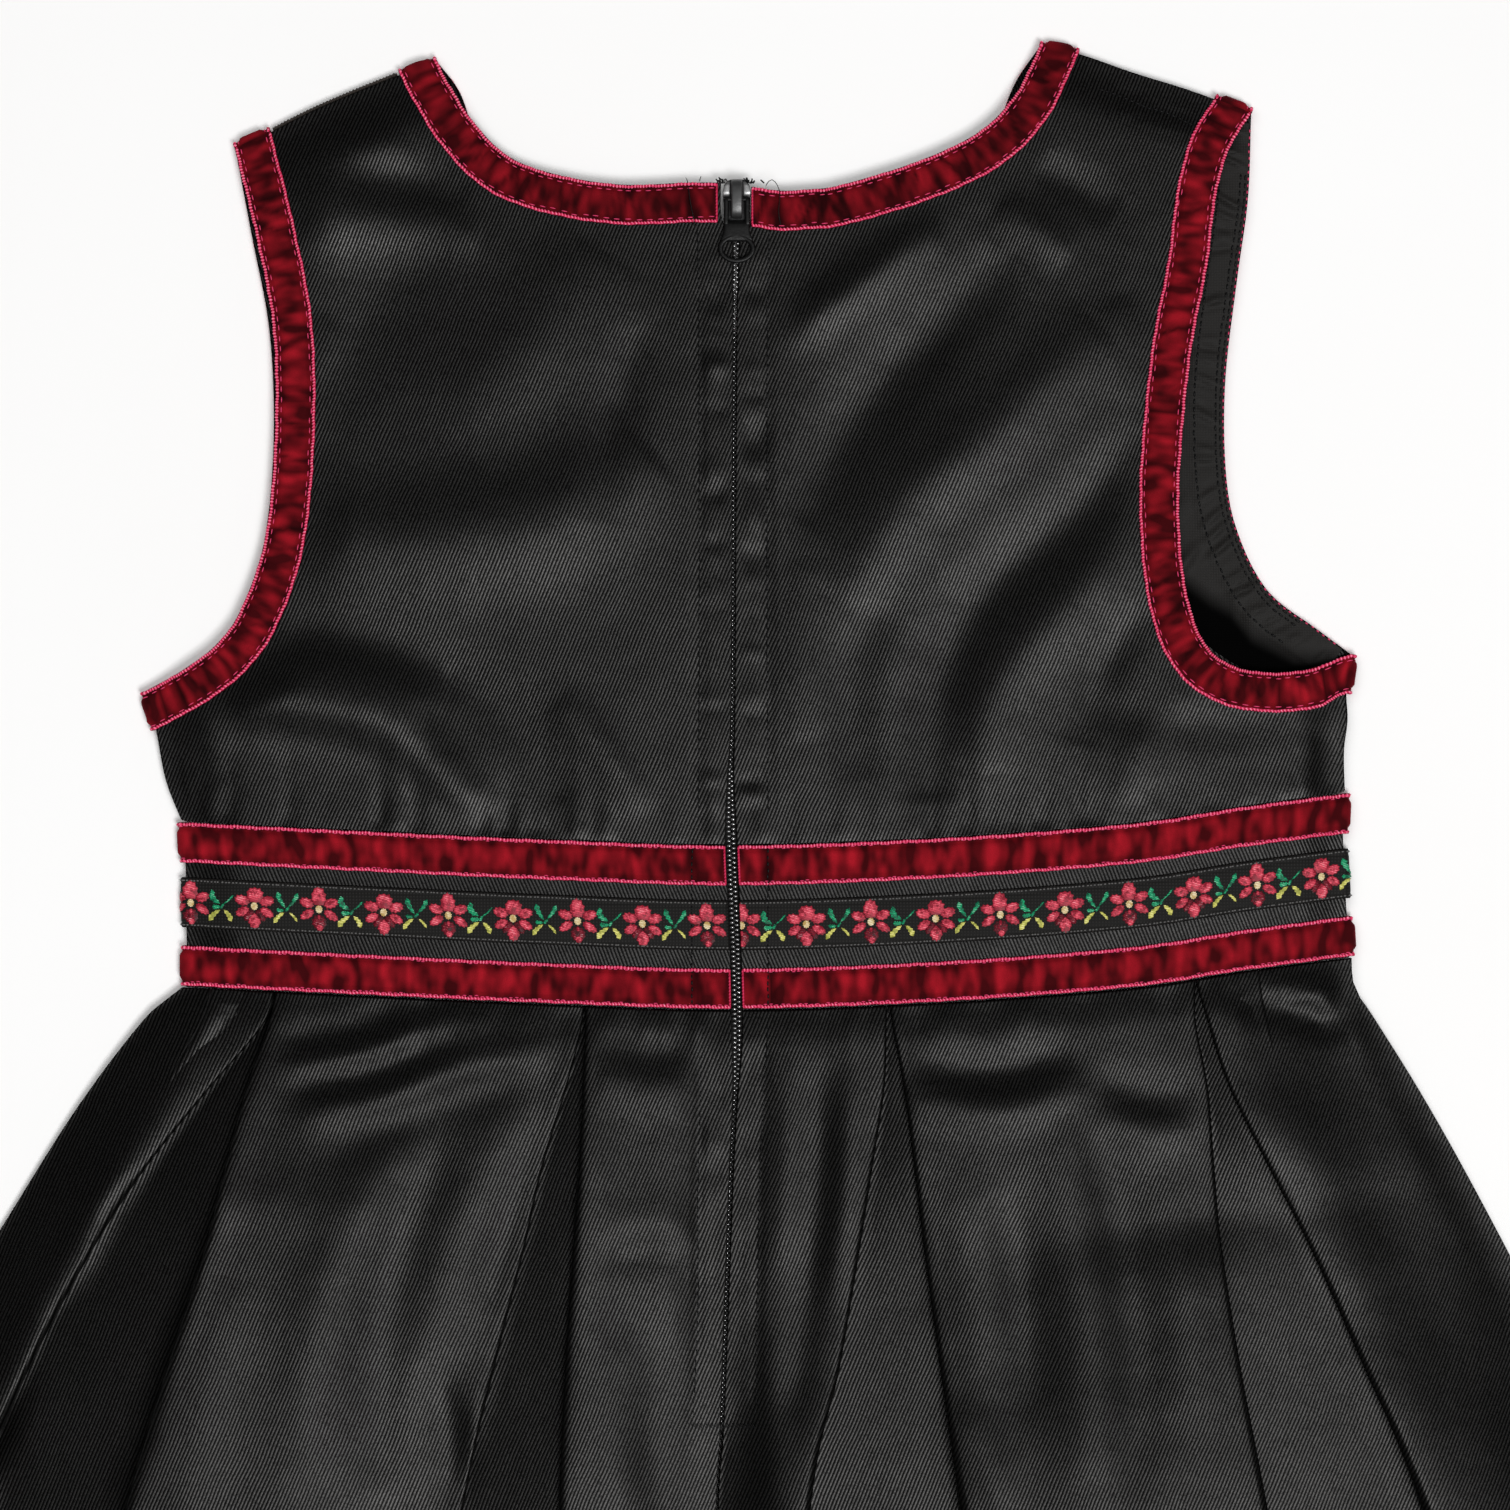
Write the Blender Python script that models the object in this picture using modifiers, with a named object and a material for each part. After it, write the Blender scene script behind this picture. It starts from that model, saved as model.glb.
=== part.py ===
"""Child's sleeveless pinafore dress, lying on its front on a flat surface.

Black satin-twill bodice, waistband and pleated skirt, velvet ribbons round the neck, the
armholes and the waistband, a flower ribbon between the waist ribbons, and a centre-back zip.
The back faces up, +Y points to the neck and +Z is up. The origin is the middle of the
garment's box, on the surface. Sizes and tables are in millimetres.
"""
import math

import bpy
import numpy as np

MM = 0.001
NAME = "bunad_costume"

# Driving sizes.
WALL = 1.0                 # thickness of every cloth wall
SEAM = 0.3                 # gap between pieces at a seam
LAID = 0.5                 # gap between a ribbon and the panel it lies on
RIBBON_WIDTH = 10.0
WRAP = 1.1                 # how far a ribbon's inner face stands out where it turns an edge
BAND_DEPTH = 41.3          # waistband, from the bodice seam to the skirt seam
HEM_Y = -312.2             # hem at the centre
HEM_LIFT = 35.0            # how far the hem curves up at the sides
HEM_HALF = 295.0           # half the hem's width

# Heights of the lower face of each layer above the surface.
FRONT = WALL + SEAM        # the front bodice, over the front of the ribbons
BACK = FRONT + WALL + SEAM
AIR = 2.0                  # how far the back stands off the front, away from the seams
AIR_RAMP = 14.0            # distance from a seam over which it does
ZIP_TOP = BACK + AIR - SEAM  # upper face of the zip tapes, under the back's edges

# Edges of the back bodice: x, y. Necks run from the centre to the shoulder, shoulders from
# the neck to the arm, armholes from the shoulder down, sides from the armhole to the waist.
NECK_LEFT = [(-4.3, 276.1), (-12, 276.1), (-28.5, 275.6), (-44.5, 278.1), (-56.5, 282.6),
             (-65.2, 291.1), (-71.5, 300.9), (-74.5, 306.6)]
NECK_RIGHT = [(4.1, 275.1), (11, 274.1), (18.5, 274.4), (26.8, 275.6), (46.2, 281.6),
              (61, 288.8), (70, 298.1), (76.2, 310.4)]
SHOULDER_LEFT = [(-74.5, 306.6), (-85, 302.9), (-103.8, 295.1), (-116.5, 288.8), (-125.2, 284.9)]
SHOULDER_RIGHT = [(76.2, 310.4), (85.8, 308.6), (99.8, 303.8), (114.2, 299.3), (129.3, 293.7)]
ARMHOLE_LEFT = [(-125.2, 284.9), (-119.8, 263.4), (-115.4, 239.1), (-115, 211.9),
                (-117.5, 186.9), (-123.5, 169.4), (-129.8, 160.5), (-138.5, 154), (-147.5, 149.1)]
ARMHOLE_RIGHT = [(129.3, 293.7), (123.5, 284.4), (120.2, 272.4), (118, 255.1), (114.2, 235.1),
                 (111.8, 212.9), (111, 194.6), (112.5, 175.9), (117.2, 161.4), (126.2, 154.8),
                 (140.8, 154.1), (154.2, 158.4)]
SIDE_LEFT = [(-147.5, 149.1), (-145, 139.9), (-142.5, 127), (-138.6, 116.8)]
SIDE_RIGHT = [(154.2, 158.4), (153, 149.4), (153.3, 141.9), (152.4, 134), (152.6, 124)]

# The front bodice: a deeper neck, and armholes that the back only partly covers.
FRONT_NECK = [(-74.5, 306.6), (-68, 297), (-62, 275), (-45, 251), (-22, 241), (0, 239),
              (22, 241), (45, 251), (61, 275), (69, 299), (76.2, 310.4)]
FRONT_ARMHOLE_LEFT = [(-125.2, 284.9), (-121.1, 263.4), (-116.6, 239.1), (-115.6, 211.9),
                      (-117.9, 186.9), (-123.6, 169.4), (-129.9, 160.5), (-138.5, 154),
                      (-147.5, 149.1)]
FRONT_ARMHOLE_RIGHT = [(129.3, 293.7), (128.5, 272.4), (125.8, 252.4), (122.8, 226.6),
                       (123, 203.6), (126, 188.6), (133.5, 174.1), (145.8, 164.6),
                       (154.2, 158.4)]

# The waist seam: x, y.
WAIST = [(-160, 117.2), (-139.5, 116.4), (-90, 114), (-43.8, 111.9), (0, 110.6), (51.2, 112.4),
         (98.8, 116), (126.2, 120.1), (153, 123.6), (170, 125.5)]

# The zip, from the neck down: y, x of its line, half the gap between the panels' edges, and
# how far the tapes' inner edges are from the line.
ZIP = [(280, 0.5, 3.9, 3.9), (267.5, 0.4, 3.8, 3.9), (262, 0.3, 1.0, 2.15), (247, 0, 0.6, 2.15),
       (147, -0.5, 0.6, 2.15), (120, -1.2, 0.8, 2.15), (110, -0.9, 2.1, 2.15), (82, 0.2, 2.1, 2.15),
       (62, 0.5, 2.0, 2.15), (48, 0.1, 0.7, 2.15), (29, -0.9, 0.6, 2.15), (-6, -2.2, 0.6, 2.15),
       (-36, -3.3, 0.5, 2.15), (-60, -4.5, 0.3, 2.15), (-150, -5.2, 0.3, 2.15),
       (-320, -6.0, 0.3, 2.15)]
ZIP_TOP_Y = 274.0          # upper end of the tapes
ZIP_END_Y = -38.0          # lower end of the tapes
TAPE_REACH = 10.5          # how far a tape reaches from the zip's line
COIL_HALF = 1.7            # half the coil's width
COIL_WALL = 1.2
COIL_RISE = 1.1            # how far the coil stands up between the edges at the waistband

# Folds of the back bodice: height, width, then the fold's path.
BODICE_FOLDS = [
    (1.6, 11, [(-103, 141), (-85, 142), (-66, 146)]),
    (-1.6, 8, [(-114, 133), (-92, 122), (-73, 113), (-61, 99)]),
    (-1.4, 9, [(-58, 243), (-82, 214), (-105, 186)]),
    (1.5, 12, [(-32, 230), (-44, 196), (-48, 165)]),
    (2.2, 8, [(64, 260), (36, 239), (17, 218)]),
    (-1.6, 9, [(83, 258), (65, 218), (30, 182), (18, 178)]),
    (2.4, 8, [(99, 196), (68, 183), (46, 167), (38, 146), (41, 118)]),
    (-1.5, 8, [(99, 183), (77, 167), (58, 149)]),
    (3.5, 14, [(113, 178), (119, 163), (127, 152)]),
]

# Inverted pleats of the back skirt, at four heights of the skirt and the hem: y, then the
# left and right fold of pleats a, b, c and d, from left to right.
PLEATS = [
    (76, -114.6, -114.4, -37.9, -37.7, 38.1, 38.3, 115.0, 115.2),
    (66, -117.6, -116.4, -38.1, -37.3, 37.9, 39.3, 115.2, 118.2),
    (50, -131.0, -121.8, -42.0, -37.9, 37.4, 42.2, 118.2, 123.4),
    (30, -147.0, -127.0, -48.0, -38.9, 34.4, 44.8, 119.8, 133.2),
    (10, -160.0, -132.0, -52.5, -40.3, 31.3, 47.2, 121.6, 143.6),
    (-20, -176.0, -141.5, -60.0, -42.3, 26.2, 51.3, 126.2, 157.0),
    (-56, -191.0, -152.0, -68.0, -43.8, 18.8, 56.4, 133.0, 172.0),
    (-150, -222.0, -174.0, -84.0, -46.0, 12.0, 70.0, 150.0, 204.0),
    (-320, -262.0, -204.0, -104.0, -50.0, 14.0, 94.0, 180.0, 246.0),
]
LINING_WIDTH = 26.0        # the armhole lining, where it is widest
PLEAT_DEPTH = 15.0         # cloth folded under at each side of a pleat
SKIRT_WAVE = 0.022         # height of the soft wave between two pleats, over its width
LAYER_PITCH = 1.4          # from one layer of a pleat to the next, at the waist

# The skirt's side outlines: y, x at the left, x at the right.
SKIRT_SIDES = [(84, -138.4, 154.2), (75, -138.4, 155.0), (68, -147.0, 159.5), (48, -162.5, 172.0),
               (24, -178.0, 185.5), (-10, -198.0, 203.0), (-60, -222.0, 226.0),
               (-120, -246.0, 249.0), (-180, -268.0, 268.5), (-240, -285.5, 285.5),
               (-290, -295.0, 295.0)]
SKIRT_ROWS = [0, 0.035, 0.08, 0.13, 0.19, 0.26, 0.34, 0.44, 0.56, 0.7, 0.85, 1.0]

COLOURS = {                # base colour, roughness, metallic
    "satin": ((0.012, 0.012, 0.013), 0.45, 0.0),
    "lining": ((0.022, 0.022, 0.024), 0.7, 0.0),
    "velvet": ((0.16, 0.004, 0.012), 0.85, 0.0),
    "flower_ribbon": ((0.015, 0.014, 0.015), 0.6, 0.0),
    "zip_tape": ((0.01, 0.01, 0.011), 0.8, 0.0),
    "zip_coil": ((0.012, 0.012, 0.013), 0.35, 0.0),
    "zip_metal": ((0.08, 0.08, 0.085), 0.35, 1.0),
}


# ---------------------------------------------------------------- curves and grids

def ramp(t):
    """Smooth step from 0 at t = 0 to 1 at t = 1."""
    t = np.clip(t, 0.0, 1.0)
    return t * t * (3.0 - 2.0 * t)


def evenly(points, count):
    """The points of a polyline, read again at count places equally far apart."""
    steps = np.linalg.norm(np.diff(points, axis=0), axis=1)
    run = np.concatenate([[0.0], np.cumsum(steps)])
    places = np.linspace(0.0, run[-1], count)
    return np.stack([np.interp(places, run, axis) for axis in points.T], axis=1)


def spline(rows, count):
    """Smooth curve through the rows of a table (Catmull-Rom), read at count even places."""
    knots = np.array(rows, float)
    padded = np.vstack([2 * knots[0] - knots[1], knots, 2 * knots[-1] - knots[-2]])
    t = np.linspace(0.0, 1.0, 12, endpoint=False)[:, None]
    pieces = []
    for a, b, c, d in zip(padded, padded[1:], padded[2:], padded[3:]):
        pieces.append(0.5 * (2 * b + (c - a) * t + (2 * a - 5 * b + 4 * c - d) * t ** 2
                             + (3 * b - 3 * c + d - a) * t ** 3))
    return evenly(np.vstack(pieces + [knots[-1:]]), count)


def joined(*curves):
    """Curves end to end, with each shared point once."""
    return np.vstack([curves[0]] + [curve[1:] for curve in curves[1:]])


def reader(table, column):
    """Function of y that reads one column of a table whose first column is y."""
    smooth = spline(sorted(table), 400)
    return lambda y: np.interp(y, smooth[:, 0], smooth[:, column])


def waist_y(x):
    return np.interp(x, WAIST_CURVE[:, 0], WAIST_CURVE[:, 1])


def distance_to(path, x, y):
    """Distance from the points x, y to a path in the plane."""
    nearest = np.full(np.shape(x), np.inf)
    for (ax, ay), (bx, by) in zip(path[:-1], path[1:]):
        dx, dy = bx - ax, by - ay
        t = np.clip(((x - ax) * dx + (y - ay) * dy) / (dx * dx + dy * dy), 0.0, 1.0)
        nearest = np.minimum(nearest, np.hypot(x - ax - t * dx, y - ay - t * dy))
    return nearest


def filled(bottom, top, left, right):
    """Grid between four edge curves: a Coons patch, then relaxed by Winslow's equations."""
    u = np.linspace(0.0, 1.0, len(bottom))[None, :, None]
    v = np.linspace(0.0, 1.0, len(left))[:, None, None]
    corners = ((1 - u) * (1 - v) * bottom[0] + u * (1 - v) * bottom[-1]
               + (1 - u) * v * top[0] + u * v * top[-1])
    p = ((1 - v) * bottom[None] + v * top[None] + (1 - u) * left[:, None] + u * right[:, None]
         - corners)
    for _ in range(150):
        across = (p[1:-1, 2:] - p[1:-1, :-2]) / 2
        along = (p[2:, 1:-1] - p[:-2, 1:-1]) / 2
        a = (along ** 2).sum(-1, keepdims=True)
        b = (across * along).sum(-1, keepdims=True)
        c = (across ** 2).sum(-1, keepdims=True)
        twist = p[2:, 2:] - p[2:, :-2] - p[:-2, 2:] + p[:-2, :-2]
        p[1:-1, 1:-1] = (a * (p[1:-1, 2:] + p[1:-1, :-2]) + c * (p[2:, 1:-1] + p[:-2, 1:-1])
                         - b * twist / 2) / (2 * (a + c))
    return p


def with_height(grid, height):
    """Adds a z to a grid of x, y."""
    return np.dstack([grid, np.broadcast_to(height, grid.shape[:2])])


WAIST_CURVE = spline(WAIST, 200)
zip_x = reader(ZIP, 1)
zip_gap = reader(ZIP, 2)
tape_edge = reader(ZIP, 3)
side_left = reader([(y, x) for x, y in SIDE_LEFT + [(-137.6, 110), (-137.2, 84), (-137.4, 60)]], 1)
side_right = reader([(y, x) for x, y in SIDE_RIGHT + [(152.2, 110), (153.6, 84), (154, 70)]], 1)


# ---------------------------------------------------------------- heights

SEAMS = [spline(rows, 12) for rows in (SHOULDER_LEFT, SHOULDER_RIGHT)]
SEAMS += [np.stack([side(ys), ys], axis=1) for side, ys in
          ((side_left, np.linspace(149.1, 60, 12)), (side_right, np.linspace(158.4, 60, 12)))]
EDGES = [spline(rows, 24) for rows in (NECK_LEFT, NECK_RIGHT, ARMHOLE_LEFT, ARMHOLE_RIGHT)]


def back_level(x, y):
    """Height of the back's lower face, over bodice and waistband: the air between front and
    back, and the folds, which die out under the ribbons and along the zip."""
    from_seam = np.min([distance_to(seam, x, y) for seam in SEAMS], axis=0)
    from_edge = np.min([distance_to(edge, x, y) for edge in EDGES], axis=0)
    air = AIR * ramp(from_seam / AIR_RAMP)
    calm = 0.45 + 0.55 * ramp((from_edge - 4) / 14)
    calm = calm * ramp((np.abs(x) - TAPE_REACH) / 16) * ramp((y - waist_y(x)) / 14)
    calm = calm * ramp(from_seam / 20)
    folds = sum(height * np.exp(-(distance_to(path, x, y) / width) ** 2)
                for height, width, path in BODICE_FOLDS)
    return BACK + air + np.maximum(folds * calm, -1.6 * ramp(from_seam / 30))


# ---------------------------------------------------------------- objects

def clear_scene():
    for old in list(bpy.data.objects):
        bpy.data.objects.remove(old, do_unlink=True)


def material(slot):
    made = bpy.data.materials.get(slot)
    if made is None:
        colour, roughness, metallic = COLOURS[slot]
        made = bpy.data.materials.new(slot)
        made.use_nodes = True
        shader = made.node_tree.nodes["Principled BSDF"]
        shader.inputs["Base Color"].default_value = (*colour, 1.0)
        shader.inputs["Roughness"].default_value = roughness
        shader.inputs["Metallic"].default_value = metallic
    return made


def add_object(name, data, slot, location=(0, 0, 0)):
    made = bpy.data.objects.new(name, data)
    data.materials.append(material(slot))
    made.location = [value * MM for value in location]
    PARTS.objects.link(made)
    return made


def surface(name, grid, slot, up=1, closed=False, thickness=WALL, side=1):
    """Cloth wall: a grid of points, thickened. up is the z sign of the face that the wall
    grows from, side is 1 to grow outwards from the grid, 0 to grow both ways."""
    rows, columns = grid.shape[:2]
    ids = np.arange(rows * columns).reshape(rows, columns)
    if closed:
        ids = np.vstack([ids, ids[:1]])
    quads = np.stack([ids[:-1, :-1], ids[:-1, 1:], ids[1:, 1:], ids[1:, :-1]], -1).reshape(-1, 4)
    points = grid.reshape(-1, 3)
    a, b, c = points[quads[0, 0]], points[quads[0, 1]], points[quads[0, 2]]
    if np.cross(b - a, c - b)[2] * up < 0:
        quads = quads[:, ::-1]
    mesh = bpy.data.meshes.new(name)
    mesh.from_pydata((points * MM).tolist(), [], quads.tolist())
    mesh.shade_smooth()
    made = add_object(name, mesh, slot)
    wall = made.modifiers.new("wall", "SOLIDIFY")
    wall.thickness = thickness * MM
    wall.offset = side
    wall.use_even_offset = True
    return made


# ---------------------------------------------------------------- bodice

def centre_edge(sign, ys):
    """Edge of a back panel along the zip, at heights ys; sign is -1 left, 1 right."""
    return np.stack([zip_x(ys) + sign * zip_gap(ys), ys], axis=1)


def waist_line(x0, x1, count, lift=0.0):
    xs = np.linspace(x0, x1, count)
    return np.stack([xs, waist_y(xs) + lift], axis=1)


def back_half(sign, neck, shoulder, armhole, side, counts):
    """Grid of one back bodice half; counts are of neck, shoulder, side and armhole."""
    n_neck, n_shoulder, n_side, n_arm = counts
    top = joined(spline(neck, n_neck), spline(shoulder, n_shoulder))
    right = joined(spline(side[::-1], n_side), spline(armhole[::-1], n_arm))
    ys = np.linspace(waist_y(0) + SEAM / 2, neck[0][1], len(right))
    left = centre_edge(sign, ys)
    top[0], right[0] = left[-1], right[0] + (0, SEAM / 2)
    bottom = waist_line(left[0, 0], right[0, 0], len(top), SEAM / 2)
    bottom[-1] = right[0]
    return filled(bottom, top, left, right)


def build_bodice():
    counts = (9, 7, 5, 14)
    for name, sign, rows in (
            ("left", -1, (NECK_LEFT, SHOULDER_LEFT, ARMHOLE_LEFT, SIDE_LEFT)),
            ("right", 1, (NECK_RIGHT, SHOULDER_RIGHT, ARMHOLE_RIGHT, SIDE_RIGHT))):
        grid = back_half(sign, *rows, counts)
        surface("bodice_back_" + name,
                with_height(grid, back_level(grid[..., 0], grid[..., 1])), "satin")
    left = joined(spline(SIDE_LEFT[::-1], 4), spline(FRONT_ARMHOLE_LEFT[::-1], 11))
    right = joined(spline(SIDE_RIGHT[::-1], 4), spline(FRONT_ARMHOLE_RIGHT[::-1], 11))
    left[0] += (0, SEAM / 2)
    right[0] += (0, SEAM / 2)
    top = joined(spline(SHOULDER_LEFT[::-1], 5), spline(FRONT_NECK, 13),
                 spline(SHOULDER_RIGHT, 5))
    bottom = waist_line(left[0, 0], right[0, 0], len(top), SEAM / 2)
    bottom[0], bottom[-1] = left[0], right[0]
    surface("bodice_front", with_height(filled(bottom, top, left, right), FRONT), "satin")
    build_lining()


def build_lining():
    """Strip of the front's lining along its right armhole, wide where the back uncovers it."""
    edge = evenly(spline(FRONT_ARMHOLE_RIGHT, 60)[4:-3], 13)
    inward = inward_of(edge, -1)
    width = LINING_WIDTH * np.sqrt(np.sin(np.linspace(0.1, 0.93, len(edge)) * math.pi))
    grid = np.stack([edge + inward * (0.4 + width[:, None] * w) for w in (0, 0.33, 0.67, 1)], 1)
    surface("armhole_lining", with_height(grid, BACK), "lining")


def inward_of(edge, sign):
    """Unit normals of an edge curve, on its left for sign 1 and on its right for -1."""
    along = np.gradient(edge, axis=0)
    along /= np.linalg.norm(along, axis=1, keepdims=True)
    return sign * np.stack([-along[:, 1], along[:, 0]], axis=1)


# ---------------------------------------------------------------- waistband

def band_grid(x0_of, x1_of, offsets, count):
    """Grid that runs along the waist seam, at distances below it, between two side curves."""
    u = np.linspace(0.0, 1.0, count)
    rows = []
    for offset in offsets:
        x = x0_of(110.0 - offset) + (x1_of(110.0 - offset) - x0_of(110.0 - offset)) * u
        for _ in range(3):
            y = waist_y(x) - offset
            x = x0_of(y[0]) + (x1_of(y[-1]) - x0_of(y[0])) * u
        rows.append(np.stack([x, waist_y(x) - offset], axis=1))
    return np.stack(rows)


def zip_left(y):
    return zip_x(y) - zip_gap(y)


def zip_right(y):
    return zip_x(y) + zip_gap(y)


def build_waistband():
    offsets = [SEAM / 2, BAND_DEPTH / 2, BAND_DEPTH - SEAM / 2]
    surface("waistband_front",
            with_height(band_grid(side_left, side_right, offsets, 19), FRONT), "satin")
    for name, x0, x1 in (("left", zip_left, side_left), ("right", zip_right, side_right)):
        grid = band_grid(x0, x1, offsets, 12)
        surface("waistband_back_" + name,
                with_height(grid, back_level(grid[..., 0], grid[..., 1])), "satin")


# ---------------------------------------------------------------- ribbons

def laid_on_back(grid):
    return with_height(grid, back_level(grid[..., 0], grid[..., 1]) + WALL + LAID)


def laid_under_front(grid):
    return with_height(grid, WALL)


def turned(start, end, outward):
    """Cross lines that carry a ribbon round an edge: a half ellipse from the line start to
    the line end, bulging outwards."""
    lines = []
    for angle in np.radians([36, 72, 108, 144]):
        middle = (start + end) / 2
        line = middle + (start - end) / 2 * math.cos(angle)
        line[:, :2] += outward * WRAP * math.sin(angle)
        lines.append(line)
    return np.stack(lines)


def strip(edge, sign, width=RIBBON_WIDTH):
    """Cross lines from an edge curve inwards."""
    inward = inward_of(edge, sign)
    return np.stack([edge + inward * width * w for w in (0, 0.5, 1)], axis=1)


def ends_on(lines, first=None, last=None):
    """Turns a strip's end lines onto the seam lines that they meet: an end line keeps its
    outer point, and the rest of it runs along the seam curve."""
    width = np.linalg.norm(lines[1, -1] - lines[1, 0])
    for index, seam in ((0, first), (-1, last)):
        if seam is not None:
            along = evenly(seam, 400)
            run = np.concatenate([[0], np.cumsum(np.linalg.norm(np.diff(along, axis=0), axis=1))])
            for k in range(lines.shape[1]):
                place = width * k / (lines.shape[1] - 1)
                lines[index, k] = [np.interp(place, run, axis) for axis in along.T]
    return lines


def seam_normal(seam, outward):
    """Unit normal of a seam curve's first stretch, on the side of the vector outward."""
    along = seam[1] - seam[0]
    normal = np.array([-along[1], along[0]]) / np.linalg.norm(along)
    return normal * np.sign(normal @ np.array(outward))


def centre_end(neck):
    """Line down from a neck edge's first point, along the zip."""
    x, y = neck[0]
    return np.array([(x, y), (x, y - 2 * RIBBON_WIDTH)])


def build_neck_ribbon():
    shoulder_left = spline(SHOULDER_LEFT, 40)
    shoulder_right = spline(SHOULDER_RIGHT, 40)
    left = ends_on(strip(spline(NECK_LEFT, 14), 1), centre_end(NECK_LEFT), shoulder_left)
    right = ends_on(strip(spline(NECK_RIGHT, 14), -1), centre_end(NECK_RIGHT),
                    shoulder_right)[::-1]
    front = ends_on(strip(spline(FRONT_NECK, 30), -1), shoulder_left, shoulder_right)
    left, right, front = laid_on_back(left), laid_on_back(right), laid_under_front(front)
    over_left = turned(left[-1], front[0], seam_normal(shoulder_left, (0, 1)))
    over_right = turned(front[-1], right[0], seam_normal(shoulder_right, (0, 1)))
    surface("neck_ribbon", np.concatenate([left, over_left, front, over_right, right]), "velvet")


def build_armhole_ribbon(name, back_edge, front_edge, shoulder, side, sign):
    """Closed loop: down the back's armhole, under the arm, up the front's, over the shoulder."""
    shoulder = spline(shoulder[::-1], 40)
    side = spline(side, 40)
    back = ends_on(strip(spline(back_edge, 24), sign), shoulder, side)
    front = ends_on(strip(spline(front_edge, 22), sign), shoulder, side)[::-1]
    back, front = laid_on_back(back), laid_under_front(front)
    under_arm = turned(back[-1], front[0], seam_normal(side, (-sign, 0)))
    over = turned(front[-1], back[0], seam_normal(shoulder, (0, 1)))
    surface("armhole_ribbon_" + name, np.concatenate([back, under_arm, front, over]),
            "velvet", closed=True)


def build_waist_ribbon(name, top, bottom, slot):
    """Ribbon round the waistband, from the zip's left edge round the front to its right."""
    offsets = [top, (top + bottom) / 2, bottom]

    def lines(x0, x1, count):
        return band_grid(x0, x1, offsets, count).transpose(1, 0, 2)

    left = laid_on_back(lines(zip_left, side_left, 14))
    front = laid_under_front(lines(side_left, side_right, 20))
    right = laid_on_back(lines(side_right, zip_right, 14))
    out = np.array([1.0, 0.0])
    grid = np.concatenate([left, turned(left[-1], front[0], -out), front,
                           turned(front[-1], right[0], out), right])
    surface(name, grid, slot)


def build_ribbons():
    build_neck_ribbon()
    build_armhole_ribbon("left", ARMHOLE_LEFT, FRONT_ARMHOLE_LEFT, SHOULDER_LEFT, SIDE_LEFT, 1)
    build_armhole_ribbon("right", ARMHOLE_RIGHT, FRONT_ARMHOLE_RIGHT, SHOULDER_RIGHT,
                         SIDE_RIGHT, -1)
    build_waist_ribbon("waist_ribbon_upper", 0.2, 9.9, "velvet")
    build_waist_ribbon("flower_ribbon", 13.8, 26.3, "flower_ribbon")
    build_waist_ribbon("waist_ribbon_lower", 31.0, 40.8, "velvet")


# ---------------------------------------------------------------- skirt

skirt_left = reader(SKIRT_SIDES, 1)
skirt_right = reader(SKIRT_SIDES, 2)


def skirt_row_y(v, x):
    """Height of the skirt's row v at x: rows turn from the waist seam into the hem's curve."""
    half = 140.0 + (HEM_HALF - 140.0) * v
    n = np.clip(x / half, -1.15, 1.15)
    waist = waist_y(n * 140.0) - BAND_DEPTH - SEAM / 2
    return (1 - v) * waist + v * (HEM_Y + HEM_LIFT * n ** 2)


def crossing(curve, v):
    """Where the curve x = curve(y) meets the skirt's row v."""
    x = float(curve(skirt_row_y(v, 0.0)))
    for _ in range(8):
        x = float(curve(skirt_row_y(v, x)))
    return x


def front_rise(v):
    """The front skirt lies on the surface, and rises to meet the waistband."""
    return FRONT * ramp(1 - v / 0.16)


def half_fold(edge, angle, radius, run, top):
    """Section of one fold, from the top layer to the underlay: an arc that turns down by
    angle, a straight run, and an arc that turns back. Distances grow towards the pleat."""
    turn = np.linspace(0.0, angle, 4)
    start = edge - radius * math.sin(min(angle, math.pi / 2))
    out_a = start + radius * np.sin(turn)
    down_a = top - radius * (1 - np.cos(turn))
    out_b = out_a[-1] + run * math.cos(angle) + radius * (math.sin(angle) - np.sin(angle - turn))
    down_b = (down_a[-1] - run * math.sin(angle)
              - radius * (np.cos(angle - turn) - math.cos(angle)))
    return np.stack([np.concatenate([out_a, out_b]), np.concatenate([down_a, down_b])], axis=1)


def fold_shape(gap, v):
    """Angle, radius and run of a fold, from the pleat's open width and how far down it is:
    folded flat while cloth is left under it, then an ever gentler slope."""
    opened = ramp((gap / 2 - PLEAT_DEPTH * 0.55) / (PLEAT_DEPTH * 1.6))
    angle = math.pi * (1 - 0.86 * opened)
    radius = LAYER_PITCH / 2 + 0.4 * ramp(v / 0.15) + 2.4 * opened
    run = max(PLEAT_DEPTH - gap / 2 - radius, 0.8 + 3.5 * opened)
    return angle, radius, run


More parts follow.
